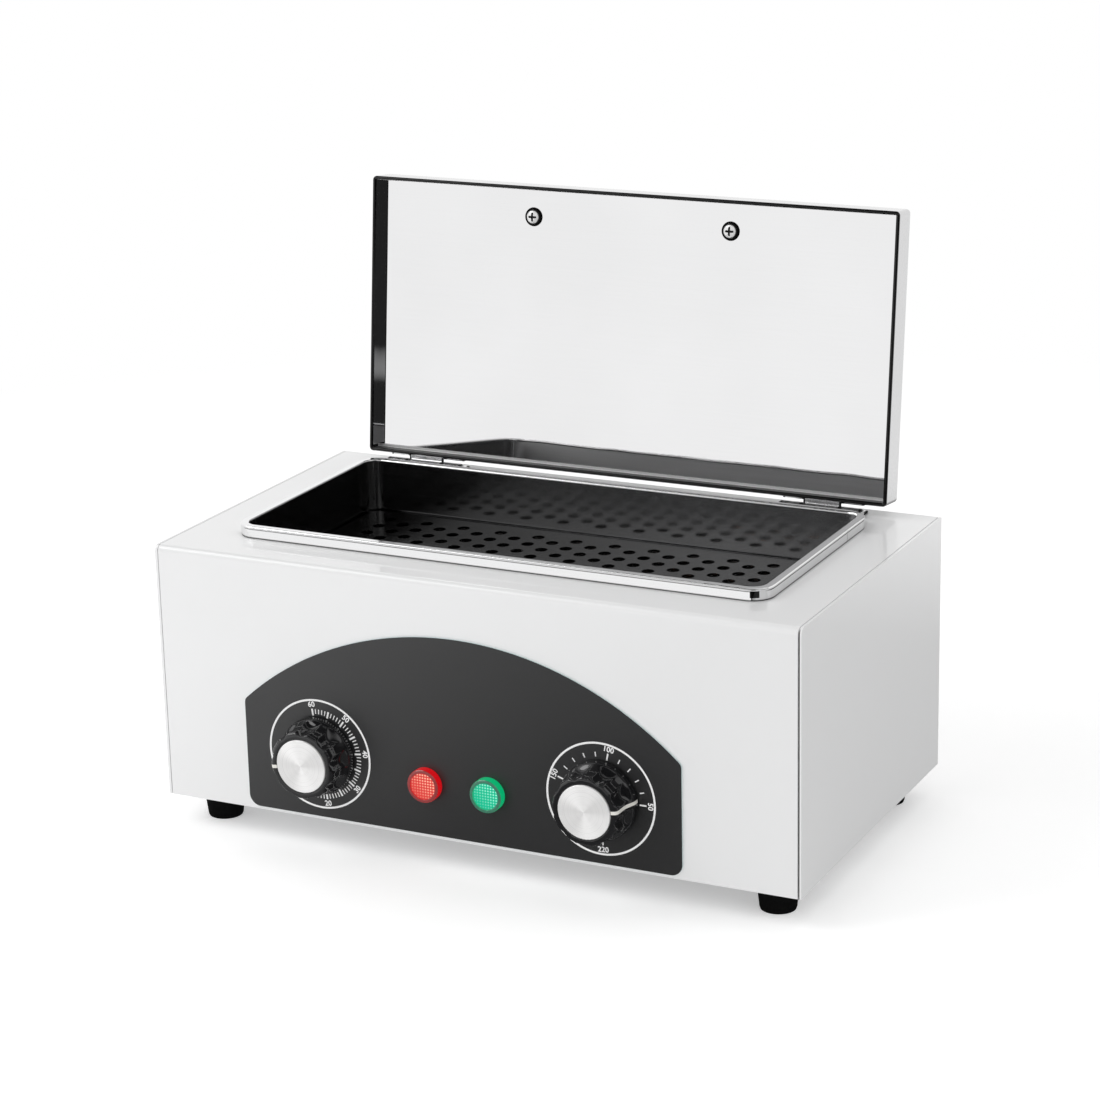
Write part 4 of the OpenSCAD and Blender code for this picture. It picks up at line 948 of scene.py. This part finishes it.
def makeLampLens(colour, shape, grid):
    bm = bmesh.new()
    lathe(bm, shape["profile"], shape["segments"])
    steps = int(grid["field"] / grid["pitch"]) + 1
    reach = grid["pitch"] * 0.3  # how much of a prism has to lie inside the round field
    for i in range(-steps, steps + 1):
        for j in range(-steps, steps + 1):
            x, y = i * grid["pitch"], j * grid["pitch"]
            if math.hypot(abs(x) + reach, abs(y) + reach) <= grid["field"]:
                addPrism(bm, x, y, grid)
    place = panelFrame(*lampAt[colour]) @ Matrix.Translation((0, 0, shape["panel"]))
    piece = finishPiece(colour + "Lens", bm, place, colour + "_lens", "housing", sharpest=20)
    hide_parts("lamp_" + colour + "_lens")


for colour in lampAt:
    makeLampLens(colour, lens, prism)
print("lenses cut")

# black cup washers under the handle screws, a dark ring put where the gap round each screw head lies in
# shade: painted shade
screwShadeRing = {
    "profile": [(3.55, 0.0), (3.55, 0.6), (3.75, 0.8), (4.1, 0.75), (4.4, 0.4), (4.5, 0.0)], "segments": 64,
}


def makeScrewShadeRings(shape, shadeRing):
    hinged = lidFrame(shape["angle"], shape["hingeY"], shape["hingeZ"])
    for side, label in ((-1, "left"), (1, "right")):
        bm = bmesh.new()
        lathe(bm, [(radius, -height) for radius, height in shadeRing["profile"]], shadeRing["segments"])
        seat = Matrix.Translation((side * shape["screwX"], shape["screwY"], shape["liner"]))
        finishPiece(label + "ScrewShadeRing", bm, hinged @ seat, "black_rubber", "lid")


makeScrewShadeRings(lid, screwShadeRing)
print("washers placed")

# studio
studio = {
    "worldLeft": 0.69, "worldRight": 0.64,
    "floorSize": 14, "floorColour": 0.84, "floorGlow": 0.36, "whiteFrom": 0.40, "whiteTo": 0.9,
    "aim": (0, 0, 0.1),
    "lights": {
        "keySoftbox": {"at": (-1.6, -0.95, 1.9), "size": (1.6, 1.2), "power": 18.0},
        "topSoftbox": {"at": (0.2, 0.5, 2.0), "size": (1.6, 1.2), "power": 4.0},
    },
    "cards": {
        "rightFloorCard": {"at": (1.2, -1.6, 0.002), "size": (2.6, 2.4), "facing": (0, 0, 1),
                           "soft": 0.5, "tone": 0.02},
        "nearFloorCard": {"at": (0.5, -0.35, 0.001), "size": (1.5, 1.8), "facing": (0, 0, 1),
                          "soft": 0.3, "tone": 0.15},
        "rightCard": {"at": (1.9, -0.8, 0.5), "size": (2.4, 1.0), "facing": (-1, 0.2, 0),
                      "soft": 0.2, "tone": 0.02},
        "frontCard": {"at": (0.2, -2.3, 1.35), "size": (6.0, 2.1), "facing": (0, 1, 0),
                      "soft": 0.25, "tone": 0.5},
        "frontRightCard": {"at": (1.0, -1.95, 0.55), "size": (1.0, 1.1), "facing": (-0.5, 0.87, 0),
                           "soft": 0.12, "tone": 0.02},
        "ceilingCard": {"at": (-0.3, -0.2, 2.4), "size": (4.4, 4.4), "facing": (0, 0, -1),
                        "soft": 0.3, "tone": 0.02},
    },
}


def makeWorld(room):  # white to the camera and in reflections, a little brighter on the left as light
    world = bpy.data.worlds.new("studioWorld")
    bpy.context.scene.world = world
    world.use_nodes = True
    tree = world.node_tree
    background = tree.nodes["Background"]
    background.inputs["Color"].default_value = (1, 1, 1, 1)
    rays = addNode(tree, "LightPath").outputs
    seen = most(tree, rays["Is Camera Ray"], rays["Is Glossy Ray"], rays["Is Transmission Ray"])
    across = axes(tree, addNode(tree, "TexCoord").outputs["Generated"])[0]
    fill = spread(tree, across, -1.0, 1.0, room["worldLeft"], room["worldRight"])
    strength = addNode(tree, "Mix", {0: seen, 2: fill, 3: 1.0})
    tree.links.new(strength.outputs[0], background.inputs["Strength"])


def startSurface(name):  # a material that starts without a shader
    mat = bpy.data.materials.new(name)
    mat.use_nodes = True
    mat.node_tree.nodes.remove(mat.node_tree.nodes["Principled BSDF"])
    return mat, mat.node_tree


def mixSurface(tree, mask, first, second):
    mixed = addNode(tree, "MixShader", {0: mask, 1: first.outputs[0], 2: second.outputs[0]})
    tree.links.new(mixed.outputs[0], tree.nodes["Material Output"].inputs["Surface"])


def makeFloor(room):  # pale near the sterilizer, and plain white farther off
    mat, tree = startSurface("studioFloor")
    tone = room["floorColour"]
    matt = addNode(tree, "BsdfDiffuse", {"Color": (tone, tone, tone, 1)})
    glow = addNode(tree, "Emission", {"Strength": room["floorGlow"]})
    near = addNode(tree, "AddShader", {0: matt.outputs[0], 1: glow.outputs[0]})
    white = addNode(tree, "Emission", {"Strength": 1.0})
    away = vectorCalc(tree, "LENGTH", addNode(tree, "TexCoord").outputs["Object"])
    mixSurface(tree, rise(tree, away, (room["whiteFrom"], room["whiteTo"])), near, white)
    bm = bmesh.new()
    bmesh.ops.create_grid(bm, x_segments=8, y_segments=8, size=room["floorSize"])
    floor = addMeshObject("studioFloor", bm, mat)


def makeCard(name, board):  # a dark or grey card that only reflections see, thinning out towards its sides
    mat, tree = startSurface(name)
    place = axes(tree, addNode(tree, "TexCoord").outputs["UV"])
    solid = 1.0
    for axis in (0, 1):
        inset = calc(tree, "SUBTRACT", 0.5, distance(tree, place[axis], 0.5))
        solid = times(tree, solid, rise(tree, inset, (0.0, board["soft"] / 2)))
    shine = addNode(tree, "Emission", {"Strength": board["tone"]})
    mixSurface(tree, solid, addNode(tree, "BsdfTransparent"), shine)
    bm = bmesh.new()
    bm.loops.layers.uv.new("cardMap")
    bmesh.ops.create_grid(bm, x_segments=2, y_segments=2, size=0.5, calc_uvs=True)
    turn = Vector(board["facing"]).to_track_quat("Z", "Y").to_matrix().to_4x4()
    bmesh.ops.transform(bm, matrix=turn @ Matrix.Diagonal((*board["size"], 1, 1)), verts=bm.verts)
    card = addMeshObject(name, bm, mat)
    card.location = board["at"]
    card.visible_camera = card.visible_diffuse = card.visible_shadow = card.visible_transmission = False


def addSoftbox(name, box, aim):
    data = bpy.data.lights.new(name, "AREA")
    data.shape, data.size, data.size_y = "RECTANGLE", *box["size"]
    data.energy = box["power"]
    lamp = bpy.data.objects.new(name, data)
    lamp.location = box["at"]
    lamp.rotation_mode = "QUATERNION"
    lamp.rotation_quaternion = (Vector(aim) - Vector(box["at"])).to_track_quat("-Z", "Y")
    bpy.context.scene.collection.objects.link(lamp)


makeWorld(studio)
makeFloor(studio)
for cardName, board in studio["cards"].items():
    makeCard(cardName, board)
for lightName, box in studio["lights"].items():
    addSoftbox(lightName, box, studio["aim"])
print("studio lit")
